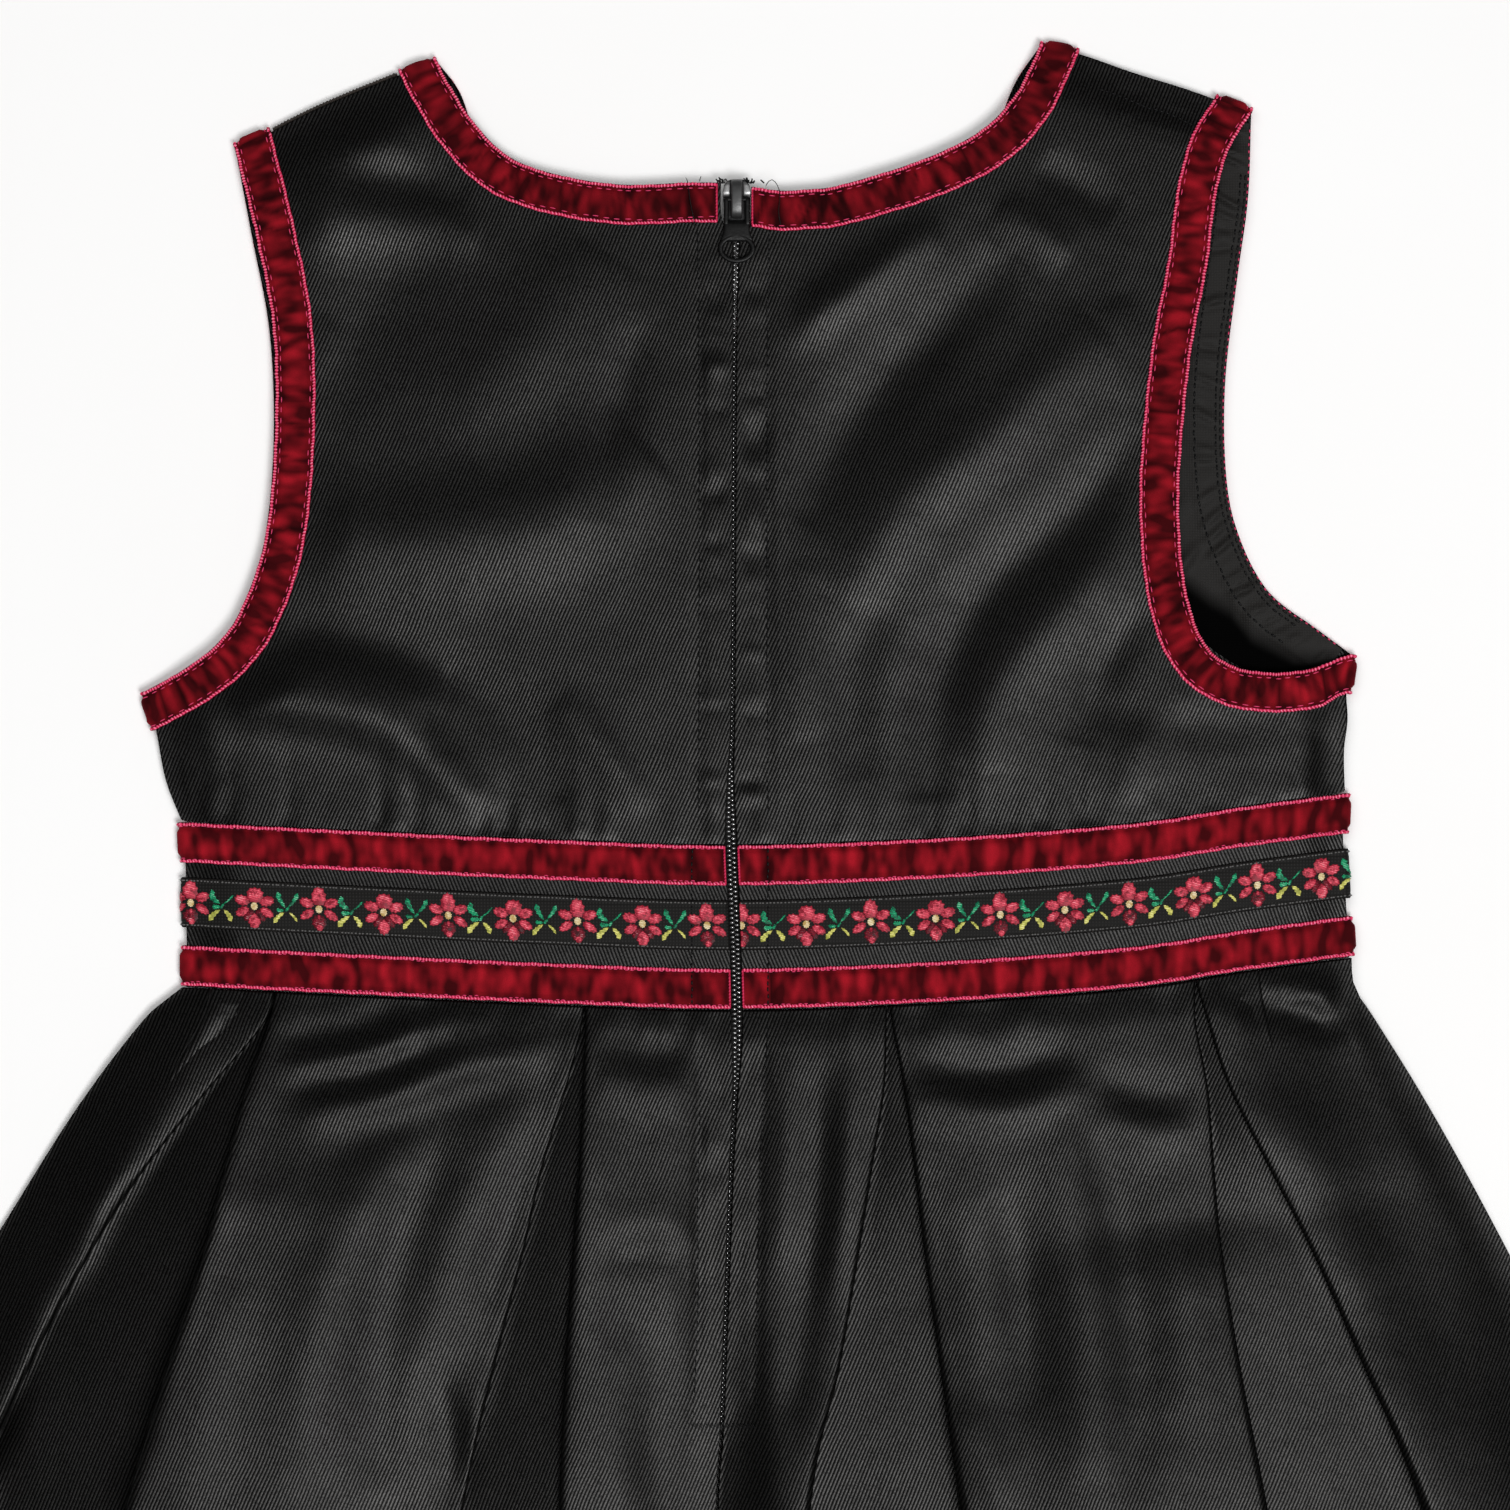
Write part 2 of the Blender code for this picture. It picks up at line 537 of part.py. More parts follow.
def skirt_section(v, sign):
    """Middle line of one back half's wall at row v, from the zip out to the side."""
    folds = [sign * crossing(reader(PLEATS, column), v)
             for column in ((5, 6, 7, 8) if sign > 0 else (4, 3, 2, 1))]
    side = sign * crossing(skirt_right if sign > 0 else skirt_left, v)
    centre_y = skirt_row_y(v, 0.0)
    start = sign * zip_x(centre_y) + zip_gap(centre_y)
    level = BACK + AIR + WALL / 2 - 1.6 * ramp((v - 0.4) / 0.6)
    ground = FRONT + WALL / 2 + 0.1 + float(front_rise(v))
    points = [(start, level)]
    here = (start, level)
    for first, second in ((folds[0], folds[1]), (folds[2], folds[3])):
        gap = second - first
        angle, radius, run = fold_shape(gap, v)
        drop = 2 * radius * (1 - math.cos(angle)) + run * math.sin(angle)
        low = ground + 0.4 * v
        near = half_fold(first, angle, radius, run, low + drop)
        far = half_fold(-second, angle, radius, run, low + drop)[::-1] * (-1, 1)
        points += spanned(here, near[0], 5, v)
        points += near.tolist()
        points.append(((near[-1, 0] + far[0, 0]) / 2, low))
        points += far.tolist()
        here = far[-1]
    points += spanned(here, (side, ground), 5, v)
    points.append((side, ground))
    q, z = np.array(points, float).T
    x = sign * q
    return np.stack([x, skirt_row_y(v, x), z], axis=1)


def spanned(a, b, count, v):
    """Points of the top layer between two folds: level by level, with a soft wave."""
    t = np.arange(1, count) / count
    q = a[0] + (b[0] - a[0]) * t
    wave = SKIRT_WAVE * abs(b[0] - a[0]) * ramp(v / 0.5)
    z = a[1] + (b[1] - a[1]) * ramp(t) + wave * np.sin(t * math.pi) ** 2
    return np.stack([q, z], axis=1).tolist()


def build_skirt():
    for name, sign in (("left", -1), ("right", 1)):
        grid = np.stack([skirt_section(v, sign) for v in SKIRT_ROWS])
        surface("skirt_back_" + name, grid, "satin", side=0)
    rows = []
    for v in SKIRT_ROWS:
        x = np.linspace(crossing(skirt_left, v), crossing(skirt_right, v), 13)
        y = skirt_row_y(v, x)
        rows.append(np.stack([x, y, np.full(len(x), front_rise(v))], axis=1))
    surface("skirt_front", np.stack(rows), "satin")


# ---------------------------------------------------------------- zip

def build_zip():
    ys = np.linspace(ZIP_TOP_Y, ZIP_END_Y, 40)
    for name, sign in (("left", -1), ("right", 1)):
        inner = zip_x(ys) + sign * tape_edge(ys)
        outer = zip_x(ys) + sign * TAPE_REACH
        grid = np.stack([np.stack([inner, ys], 1), np.stack([outer, ys], 1)], axis=1)
        surface("zip_tape_" + name, with_height(grid, ZIP_TOP - WALL), "zip_tape")
    ys = np.concatenate([np.linspace(265.5, 115, 14), np.linspace(106, 101, 4),
                         np.linspace(85, 73, 2), np.linspace(69, 63, 4), np.linspace(50, -36, 9)])
    rise = COIL_RISE * ramp((105 - ys) / 4) * ramp((ys - 64) / 4)
    across = np.stack([zip_x(ys) - COIL_HALF, zip_x(ys) + COIL_HALF], axis=1)
    grid = np.dstack([across, np.stack([ys, ys], 1), np.stack([rise, rise], 1)
                      + ZIP_TOP - COIL_WALL])
    surface("zip_coil", grid, "zip_coil", thickness=COIL_WALL)


# ---------------------------------------------------------------- slider and pull tab

SLIDER_Y = (277.0, 266.0)      # from the neck end to the coil end
SLIDER_HALF = 3.4
SLIDER_Z = (3.2, 5.4)
PIVOT = (0.45, 271.9, 6.5)     # the tab's axis, along X
CROWN_HALF = 1.35
CROWN_WALL = 0.9
TAB_WALL = 1.2
TAB_BAR = 1.2                  # the bar that turns under the crown
TAB_SLOT_END = 5.6             # from the axis to the slot's far end
TAB_SLOT_HALF = 2.0
TAB_HALF = 3.2
RING_HALF = 4.6
RING_FAR = 15.5                # from the axis to the ring's far edge


def build_slider():
    """Slider body, narrower at the coil end, with the crown as an arch over it."""
    long = SLIDER_Y[0] - SLIDER_Y[1]
    bpy.ops.mesh.primitive_cube_add(size=1)
    body = bpy.context.object
    mesh = body.data
    for vertex in mesh.vertices:
        narrow = 0.72 if vertex.co.y < 0 else 1.0
        vertex.co.x *= 2 * SLIDER_HALF * narrow * MM
        vertex.co.y *= long * MM
        vertex.co.z *= (SLIDER_Z[1] - SLIDER_Z[0]) * MM
    body.name = mesh.name = "zip_slider"
    for collection in body.users_collection:
        collection.objects.unlink(body)
    PARTS.objects.link(body)
    mesh.materials.append(material("zip_metal"))
    body.location = (PIVOT[0] * MM, sum(SLIDER_Y) / 2 * MM, sum(SLIDER_Z) / 2 * MM)
    rounding = body.modifiers.new("rounding", "BEVEL")
    rounding.width = 0.6 * MM
    rounding.segments = 2

    arch = np.array([(276.2, 5.1), (276.1, 7.0), (275.0, 7.7), (272.0, 7.9), (269.0, 7.7),
                     (267.8, 7.0), (267.7, 5.1)])
    grid = np.stack([np.stack([np.full(len(arch), PIVOT[0] + side * CROWN_HALF),
                               arch[:, 0], arch[:, 1]], 1) for side in (-1, 1)], axis=1)
    crown = surface("crown", grid, "zip_metal", thickness=CROWN_WALL, side=0)
    PARTS.objects.unlink(crown)
    GUIDES.objects.link(crown)
    crown.hide_render = True
    crown.display_type = "WIRE"
    union = body.modifiers.new("crown", "BOOLEAN")
    union.operation = "UNION"
    union.object = crown


def loop(points, cyclic_curve, z=0.0):
    """Adds a closed outline to a 2D curve."""
    path = cyclic_curve.splines.new("POLY")
    path.points.add(len(points) - 1)
    for point, (x, y) in zip(path.points, points):
        point.co = (x * MM, y * MM, z, 1.0)
    path.use_cyclic_u = True


def rounded(x_half, y0, y1, radius, steps=4):
    """Rectangle with round corners, as points."""
    points = []
    for cx, cy, begin in ((x_half - radius, y1 - radius, 0), (-x_half + radius, y1 - radius, 90),
                          (-x_half + radius, y0 + radius, 180), (x_half - radius, y0 + radius, 270)):
        for k in range(steps + 1):
            angle = math.radians(begin + 90 * k / steps)
            points.append((cx + radius * math.cos(angle), cy + radius * math.sin(angle)))
    return points


def build_pull_tab():
    """Flat tab: a bar under the crown, two arms round the slot, a web and an open ring."""
    curve = bpy.data.curves.new("zip_pull_tab", "CURVE")
    curve.dimensions = "2D"
    curve.fill_mode = "BOTH"
    curve.extrude = (TAB_WALL / 2) * MM
    half_bar = TAB_BAR / 2
    right = [(TAB_HALF, half_bar - 0.4), (TAB_HALF, -8.4), (RING_HALF - 0.6, -9.1),
             (RING_HALF, -10.0), (RING_HALF, -RING_FAR + 1.8), (RING_HALF - 1.8, -RING_FAR)]
    outline = [(TAB_HALF - 0.4, half_bar)] + right
    outline += [(-x, y) for x, y in outline[::-1]]
    loop(outline, curve)
    loop(rounded(TAB_SLOT_HALF, -TAB_SLOT_END, -half_bar, 0.5, 2), curve)
    loop(rounded(3.45, -14.9 + 0.6, -9.7, 1.2), curve)
    add_object("zip_pull_tab", curve, "zip_metal", PIVOT)


clear_scene()
PARTS = bpy.data.collections.new(NAME)
GUIDES = bpy.data.collections.new("guides")
bpy.context.scene.collection.children.link(PARTS)
bpy.context.scene.collection.children.link(GUIDES)
build_bodice()
build_waistband()
build_ribbons()
build_skirt()
build_zip()
build_slider()
build_pull_tab()
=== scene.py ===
"""Looks of a child's sleeveless folk-dress pinafore that lies on its front.

Every cloth piece is a surface worked out with numpy in millimetres, in the model's own
frame, given a wall by Solidify and laid where its solid lies: a panel is a grid between its
edge curves with a height field over it, the pleated skirt is a section carried down the
skirt, and a ribbon is a strip carried along an edge. Threads are small repeated forms.
"""
import math

import bpy
import numpy as np
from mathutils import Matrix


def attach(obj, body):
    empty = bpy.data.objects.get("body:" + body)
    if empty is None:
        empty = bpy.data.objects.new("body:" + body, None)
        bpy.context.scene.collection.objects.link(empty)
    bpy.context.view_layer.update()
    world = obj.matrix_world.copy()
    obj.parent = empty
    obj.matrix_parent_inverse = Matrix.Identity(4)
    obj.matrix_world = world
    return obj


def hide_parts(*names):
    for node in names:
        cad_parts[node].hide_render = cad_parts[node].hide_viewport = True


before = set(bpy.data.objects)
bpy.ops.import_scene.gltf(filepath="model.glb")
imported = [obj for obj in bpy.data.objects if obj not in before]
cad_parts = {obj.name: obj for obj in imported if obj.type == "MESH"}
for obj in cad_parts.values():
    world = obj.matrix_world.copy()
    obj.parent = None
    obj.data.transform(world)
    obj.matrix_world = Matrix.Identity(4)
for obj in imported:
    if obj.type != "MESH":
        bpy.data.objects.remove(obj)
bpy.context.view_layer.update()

MM = 0.001
DRESS = "dress"

# Cloth, in millimetres.
SOLID_WALL = 1.0  # wall of the cloth solids
CLOTH = 0.8  # wall of a cloth piece here
SEAM = 0.3  # gap between pieces at a seam
RIBBON_WIDTH = 10.0
BAND_DEPTH = 41.3  # waistband, from the bodice seam to the skirt seam
HEM_Y = -312.2  # hem at the centre
HEM_LIFT = 35.0  # how far the hem curves up at the sides
HEM_HALF = 295.0  # half the hem's width
FRONT = SOLID_WALL + SEAM  # lower face of the front bodice
BACK = FRONT + SOLID_WALL + SEAM
AIR = 2.0  # how far the back stands off the front
AIR_RAMP = 14.0  # distance from a seam over which it does
TAPE_REACH = 10.5  # how far a zip tape reaches from the zip's line
ZIP_TOP = BACK + AIR - SEAM  # upper face of the zip tapes

# Edges of the back bodice: x, y. Necks run from the centre to the shoulder, shoulders from
# the neck to the arm, armholes from the shoulder down, sides from the armhole to the waist.
NECK_LEFT = [(-4.3, 276.1), (-12, 276.1), (-28.5, 275.6), (-44.5, 278.1), (-56.5, 282.6),
             (-65.2, 291.1), (-71.5, 300.9), (-74.5, 306.6)]
NECK_RIGHT = [(4.1, 275.1), (11, 274.1), (18.5, 274.4), (26.8, 275.6), (46.2, 281.6),
              (61, 288.8), (70, 298.1), (76.2, 310.4)]
SHOULDER_LEFT = [(-74.5, 306.6), (-85, 302.9), (-103.8, 295.1), (-116.5, 288.8), (-125.2, 284.9)]
SHOULDER_RIGHT = [(76.2, 310.4), (85.8, 308.6), (99.8, 303.8), (114.2, 299.3), (129.3, 293.7)]
ARMHOLE_LEFT = [(-125.2, 284.9), (-119.8, 263.4), (-115.4, 239.1), (-115, 211.9),
                (-117.5, 186.9), (-123.5, 169.4), (-129.8, 160.5), (-138.5, 154), (-147.5, 149.1)]
ARMHOLE_RIGHT = [(129.3, 293.7), (123.5, 284.4), (120.2, 272.4), (118, 255.1), (114.2, 235.1),
                 (111.8, 212.9), (111, 194.6), (112.5, 175.9), (117.2, 161.4), (126.2, 154.8),
                 (140.8, 154.1), (154.2, 158.4)]
SIDE_LEFT = [(-147.5, 149.1), (-145, 139.9), (-142.5, 127), (-138.6, 116.8)]
SIDE_RIGHT = [(154.2, 158.4), (153, 149.4), (153.3, 141.9), (152.4, 134), (152.6, 124)]
BAND_SIDE_LEFT = [(-137.6, 110), (-137.2, 84), (-137.4, 60)]
BAND_SIDE_RIGHT = [(152.2, 110), (153.6, 84), (154, 70)]
SIDE_LOW_Y = 60.0  # how far down the side seams are followed

# The front bodice: a deeper neck, and armholes that the back only partly covers.
FRONT_NECK = [(-74.5, 306.6), (-68, 297), (-62, 275), (-45, 251), (-22, 241), (0, 239),
              (22, 241), (45, 251), (61, 275), (69, 299), (76.2, 310.4)]
FRONT_ARMHOLE_LEFT = [(-125.2, 284.9), (-121.1, 263.4), (-116.6, 239.1), (-115.6, 211.9),
                      (-117.9, 186.9), (-123.6, 169.4), (-129.9, 160.5), (-138.5, 154),
                      (-147.5, 149.1)]
FRONT_ARMHOLE_RIGHT = [(129.3, 293.7), (128.5, 272.4), (125.8, 252.4), (122.8, 226.6),
                       (123, 203.6), (126, 188.6), (133.5, 174.1), (145.8, 164.6),
                       (154.2, 158.4)]

# The waist seam: x, y.
WAIST = [(-160, 117.2), (-139.5, 116.4), (-90, 114), (-43.8, 111.9), (0, 110.6), (51.2, 112.4),
         (98.8, 116), (126.2, 120.1), (153, 123.6), (170, 125.5)]

# The zip, from the neck down: y, x of its line, half the gap between the panels' edges, and
# how far the tapes' inner edges are from the line.
ZIP = [(280, 0.5, 3.9, 3.9), (267.5, 0.4, 3.8, 3.9), (262, 0.3, 1.1, 2.15), (250, 0.1, 0.85, 2.15),
       (238, 0, 0.5, 2.15), (147, -0.5, 0.5, 2.15), (128, -1.1, 0.8, 2.15), (110, -0.9, 1.5, 2.15),
       (82, 0.2, 1.4, 2.15), (62, 0.5, 1.4, 2.15), (48, 0.1, 0.7, 2.15), (29, -0.9, 0.6, 2.15),
       (-6, -2.2, 0.6, 2.15), (-36, -3.3, 0.5, 2.15), (-60, -4.5, 0.3, 2.15),
       (-150, -5.2, 0.3, 2.15), (-320, -6.0, 0.3, 2.15)]
ZIP_TOP_Y = 274.0  # upper end of the tapes
ZIP_END_Y = -38.0  # lower end of the tapes

# Inverted pleats of the back skirt, at four heights of the skirt and the hem: y, then the
# left and right fold of pleats a, b, c and d, from left to right.
PLEATS = [
    (76, -114.6, -114.4, -37.9, -37.7, 38.1, 38.3, 115.0, 115.2),
    (66, -117.6, -116.4, -38.1, -37.3, 37.9, 39.3, 115.2, 118.2),
    (50, -131.0, -121.8, -42.0, -37.9, 37.4, 42.2, 118.2, 123.4),
    (30, -147.0, -127.0, -48.0, -38.9, 34.4, 44.8, 119.8, 133.2),
    (10, -160.0, -132.0, -52.5, -40.3, 31.3, 47.2, 121.6, 143.6),
    (-20, -176.0, -141.5, -60.0, -42.3, 26.2, 51.3, 126.2, 157.0),
    (-56, -191.0, -152.0, -68.0, -43.8, 18.8, 56.4, 133.0, 172.0),
    (-150, -222.0, -174.0, -84.0, -46.0, 12.0, 70.0, 150.0, 204.0),
    (-320, -262.0, -204.0, -104.0, -50.0, 14.0, 94.0, 180.0, 246.0),
]
LINING_WIDTH = 26.0  # the armhole lining, where it is widest
PLEAT_DEPTH = 15.0  # cloth folded under at each side of a pleat
SKIRT_WAVE = 0.022  # height of the soft wave between two pleats, over its width
LAYER_PITCH = 1.4  # from one layer of a pleat to the next, at the waist

# The skirt's side outlines: y, x at the left, x at the right.
SKIRT_SIDES = [(84, -138.4, 154.2), (75, -138.4, 155.0), (68, -147.0, 159.5), (48, -162.5, 172.0),
               (24, -178.0, 185.5), (-10, -198.0, 203.0), (-60, -222.0, 226.0),
               (-120, -246.0, 249.0), (-180, -268.0, 268.5), (-240, -285.5, 285.5),
               (-290, -295.0, 295.0)]

# ------------ curves and grids

def ramp(t):
    """Smooth step from 0 at t = 0 to 1 at t = 1: three t squared less two t cubed."""
    t = np.clip(t, 0.0, 1.0)
    return t * t * (3.0 - 2.0 * t)


def fade(distance, start, over, least=0.0):
    """Smooth step from a least value to 1: it starts at a distance and takes a length."""
    return least + (1 - least) * ramp((distance - start) / over)


def bell(distance, width):
    """Bell curve: 1 at distance 0, and e to the minus square of distance over width."""
    return np.exp(-(distance / width) ** 2)


def waves(s, table):
    """Sum of sines: each is its height times the sine of s times its rate plus its shift."""
    return sum(height * np.sin(s * rate + shift) for height, rate, shift in table)


def points_at(*axes):
    """Points with the given coordinates, each spread to the same shape."""
    return np.stack(np.broadcast_arrays(*axes), axis=-1)


def unit(vectors):
    """Vectors over their lengths."""
    return vectors / (np.linalg.norm(vectors, axis=-1, keepdims=True) + 1e-9)


def run_along(points):
    """Arc length from the first point of a polyline to each of its points."""
    steps = np.linalg.norm(np.diff(points, axis=0), axis=1)
    return np.concatenate([[0.0], np.cumsum(steps)])


def evenly(points, count):
    """The points of a polyline, read again at count places equally far apart."""
    run = run_along(points)
    places = np.linspace(0.0, run[-1], count)
    return points_at(*(np.interp(places, run, axis) for axis in points.T))


SPAN_STEPS = 12  # points worked out between two knots of a spline
READER_STEPS = 400  # points of a table that is read as a smooth function
RELAX_ROUNDS = 900
SEAM_POINTS, EDGE_POINTS = 12, 24  # of the curves that heights are measured from


def spline(rows, count):
    """Catmull-Rom curve through the rows of a table, read at count even places."""
    knots = np.array(rows, float)
    padded = np.vstack([2 * knots[0] - knots[1], knots, 2 * knots[-1] - knots[-2]])
    t = np.linspace(0.0, 1.0, SPAN_STEPS, endpoint=False)[:, None]
    pieces = []
    for a, b, c, d in zip(padded, padded[1:], padded[2:], padded[3:]):
        pieces.append(0.5 * (2 * b + (c - a) * t + (2 * a - 5 * b + 4 * c - d) * t ** 2
                             + (3 * b - 3 * c + d - a) * t ** 3))
    return evenly(np.vstack(pieces + [knots[-1:]]), count)


def joined(*curves):
    """Curves end to end, with each shared point once."""
    return np.vstack([curves[0]] + [curve[1:] for curve in curves[1:]])


def reader(table, column):
    """Function of y that reads one column of a table whose first column is y."""
    smooth = spline(sorted(table), READER_STEPS)
    return lambda y: np.interp(y, smooth[:, 0], smooth[:, column])


def waist_y(x):
    """Height of the waist seam at x, read from its curve."""
    return np.interp(x, WAIST_CURVE[:, 0], WAIST_CURVE[:, 1])


def nearest_on(path, x, y):
    """For the points x, y: the distance to a path in the plane, which is the least of the
    distances to its stretches, and how far along the path the nearest place is."""
    run = run_along(path)
    nearest = np.full(np.shape(x), np.inf)
    where = np.zeros(np.shape(x))
    for start, length, (ax, ay), (bx, by) in zip(run, np.diff(run), path[:-1], path[1:]):
        dx, dy = bx - ax, by - ay
        t = np.clip(((x - ax) * dx + (y - ay) * dy) / (dx * dx + dy * dy), 0.0, 1.0)
        away = np.hypot(x - ax - t * dx, y - ay - t * dy)
        where = np.where(away < nearest, start + t * length, where)
        nearest = np.minimum(nearest, away)
    return nearest, where


def distance_to(paths, x, y):
    """Distance from the points x, y to the nearest of several paths."""
    return np.min([nearest_on(path, x, y)[0] for path in paths], axis=0)


def relaxed(p, rounds):
    """Winslow's equations on a grid: each inner point moves to the mean of its neighbours,
    weighted by the grid's own stretch, so lines stay smooth and never cross."""
    for _ in range(rounds):
        across = (p[1:-1, 2:] - p[1:-1, :-2]) / 2
        along = (p[2:, 1:-1] - p[:-2, 1:-1]) / 2
        a = (along ** 2).sum(-1, keepdims=True)
        b = (across * along).sum(-1, keepdims=True)
        c = (across ** 2).sum(-1, keepdims=True)
        twist = p[2:, 2:] - p[2:, :-2] - p[:-2, 2:] + p[:-2, :-2]
        p[1:-1, 1:-1] = (a * (p[1:-1, 2:] + p[1:-1, :-2]) + c * (p[2:, 1:-1] + p[:-2, 1:-1])
                         - b * twist / 2) / (2 * (a + c))
    return p


def filled(bottom, top, left, right):
    """Grid between four edge curves: the sum of the two ruled patches between facing edges,
    less the patch on the four corners, then relaxed."""
    u = np.linspace(0.0, 1.0, len(bottom))[None, :, None]
    v = np.linspace(0.0, 1.0, len(left))[:, None, None]
    corners = ((1 - u) * (1 - v) * bottom[0] + u * (1 - v) * bottom[-1]
               + (1 - u) * v * top[0] + u * v * top[-1])
    p = ((1 - v) * bottom[None] + v * top[None] + (1 - u) * left[:, None] + u * right[:, None]
         - corners)
    return relaxed(p, RELAX_ROUNDS)


def with_height(grid, height):
    """Adds a z to a grid of x, y."""
    return points_at(grid[..., 0], grid[..., 1], height)


def inward_of(edge, sign):
    """Unit normals of an edge curve, on its left for sign 1 and on its right for -1."""
    along = unit(np.gradient(edge, axis=0))
    return sign * points_at(-along[:, 1], along[:, 0])


WAIST_CURVE = spline(WAIST, 200)
zip_x = reader(ZIP, 1)
zip_gap = reader(ZIP, 2)
tape_edge = reader(ZIP, 3)
side_left = reader([(y, x) for x, y in SIDE_LEFT + BAND_SIDE_LEFT], 1)
side_right = reader([(y, x) for x, y in SIDE_RIGHT + BAND_SIDE_RIGHT], 1)


def side_line(side, edge_table):
    """Points of a side seam from the armhole to below the waistband."""
    ys = np.linspace(edge_table[0][1], SIDE_LOW_Y, SEAM_POINTS)
    return points_at(side(ys), ys)


SEAMS = [spline(rows, SEAM_POINTS) for rows in (SHOULDER_LEFT, SHOULDER_RIGHT)]
SEAMS += [side_line(side_left, SIDE_LEFT), side_line(side_right, SIDE_RIGHT)]
EDGES = [spline(rows, EDGE_POINTS) for rows in (NECK_LEFT, NECK_RIGHT, ARMHOLE_LEFT, ARMHOLE_RIGHT)]


# ------------ meshes

def quads_of(rows, columns, closed=False, round_too=False):
    """Corner numbers of a grid's quads; closed joins the last row to the first, round_too
    the last column to the first."""
    ids = np.arange(rows * columns).reshape(rows, columns)
    if closed:
        ids = np.vstack([ids, ids[:1]])
    if round_too:
        ids = np.hstack([ids, ids[:, :1]])
    return np.stack([ids[:-1, :-1], ids[:-1, 1:], ids[1:, 1:], ids[1:, :-1]], -1).reshape(-1, 4)


def copied(faces, count, each):
    """The faces of one shape, again for so many shapes with as many points each."""
    return (faces[None] + (np.arange(count) * each)[:, None, None]).reshape(-1, 4)


def mesh_from(name, points, faces, corner_uv=None, values=None):
    """Mesh from whole arrays: points in millimetres, faces all with as many corners, for
    each corner a place (across, along) in millimetres for patterns that follow the cloth,
    and named values for each point."""
    mesh = bpy.data.meshes.new(name)
    corners = faces.shape[1]
    mesh.vertices.add(len(points))
    mesh.vertices.foreach_set("co", (points * MM).astype(np.float32).ravel())
    mesh.loops.add(faces.size)
    mesh.loops.foreach_set("vertex_index", faces.astype(np.int32).ravel())
    mesh.polygons.add(len(faces))
    mesh.polygons.foreach_set("loop_start", np.arange(0, faces.size, corners, dtype=np.int32))
    mesh.polygons.foreach_set("loop_total", np.full(len(faces), corners, dtype=np.int32))
    if corner_uv is not None:
        layer = mesh.uv_layers.new(name="UVMap")
        layer.data.foreach_set("uv", corner_uv.astype(np.float32).ravel())
    for key, value in (values or {}).items():
        layer = mesh.attributes.new(key, "FLOAT", "POINT")
        layer.data.foreach_set("value", value.astype(np.float32).ravel())
    mesh.polygons.foreach_set("use_smooth", np.ones(len(faces), dtype=bool))
    mesh.update(calc_edges=True)
    mesh.validate()
    return mesh


def add_piece(name, mesh, finish, body=DRESS):
    """Puts a mesh in the scene at the origin, with its finish and its body."""
    made = bpy.data.objects.new(name, mesh)
    mesh.materials.append(finish)
    bpy.context.scene.collection.objects.link(made)
    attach(made, body)
    return made


def places(grid):
    """For each point of a grid, how far along its row and down its column it is."""
    across = np.linalg.norm(np.diff(grid, axis=1), axis=2)
    along = np.linalg.norm(np.diff(grid, axis=0), axis=2)
    u = np.concatenate([np.zeros((len(grid), 1)), np.cumsum(across, axis=1)], axis=1)
    v = np.concatenate([np.zeros((1, grid.shape[1])), np.cumsum(along, axis=0)], axis=0)
    return u, v


LAID_OUT = {}  # each cloth piece's grid, for what is sewn on it
EDGE_SHARE = 0.12  # how far the line beside an edge is on the way to the next line


def edged(grid):
    """The grid with one more line close to each of its four edges, which keeps the edges
    crisp under smooth shading: a weighted mean of the edge and the next line."""
    for _ in range(2):
        grid = np.concatenate([grid[:1], grid[:1] + (grid[1:2] - grid[:1]) * EDGE_SHARE,
                               grid[1:-1], grid[-1:] + (grid[-2:-1] - grid[-1:]) * EDGE_SHARE,
                               grid[-1:]])
        grid = grid.swapaxes(0, 1)
    return grid


def cloth(name, grid, finish, nodes, up=1, closed=False,
          wall=CLOTH, uv=None, values=None):
    """Cloth piece: a grid of points on the face that shows, given a wall on its other side.
    up is the z sign of the face that shows on the grid's first rows. A grid that is closed
    comes with a UV map of its own, which has one row more."""
    LAID_OUT[name] = grid
    if uv is None:
        grid = edged(grid)
        values = {key: edged(value) for key, value in (values or {}).items()}
        uv = points_at(*places(grid))
    rows, columns = grid.shape[:2]
    faces = quads_of(rows, columns, closed)
    corners = quads_of(len(uv), columns)
    points = grid.reshape(-1, 3)
    first = faces[:columns - 1]
    a, b, c = (points[first[:, k]] for k in range(3))
    if np.cross(b - a, c - b)[:, 2].sum() * up < 0:
        faces, corners = faces[:, ::-1], corners[:, ::-1]
    mesh = mesh_from(name, points, faces, uv.reshape(-1, 2)[corners], values=values)
    made = add_piece(name, mesh, finish)
    shell = made.modifiers.new("wall", "SOLIDIFY")
    shell.thickness = wall * MM
    shell.offset = -1.0
    shell.use_even_offset = False
    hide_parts(*nodes)
    return made


def up_normals(grid):
    """Unit normals of a grid's points: the cross product of its two directions, turned to
    the side that faces up."""
    normal = unit(np.cross(np.gradient(grid, axis=1), np.gradient(grid, axis=0)))
    return normal * np.where(normal[..., 2:] < 0, -1.0, 1.0)

# ------------ finishes

def fed(tree, socket, value):
    """Links a socket to a value that is a socket too, else sets it."""
    if isinstance(value, bpy.types.NodeSocket):
        tree.links.new(value, socket)
    else:
        socket.default_value = value


def node(tree, kind, inputs=(), **settings):
    """Adds a shader node with its settings and inputs."""
    made = tree.nodes.new(kind)
    for key, value in settings.items():
        setattr(made, key, value)
    for key, value in dict(inputs).items():
        fed(tree, made.inputs[key], value)
    return made


def number(tree, operation, *values):
    """Math node's result."""
    return node(tree, "ShaderNodeMath", dict(enumerate(values)), operation=operation).outputs[0]


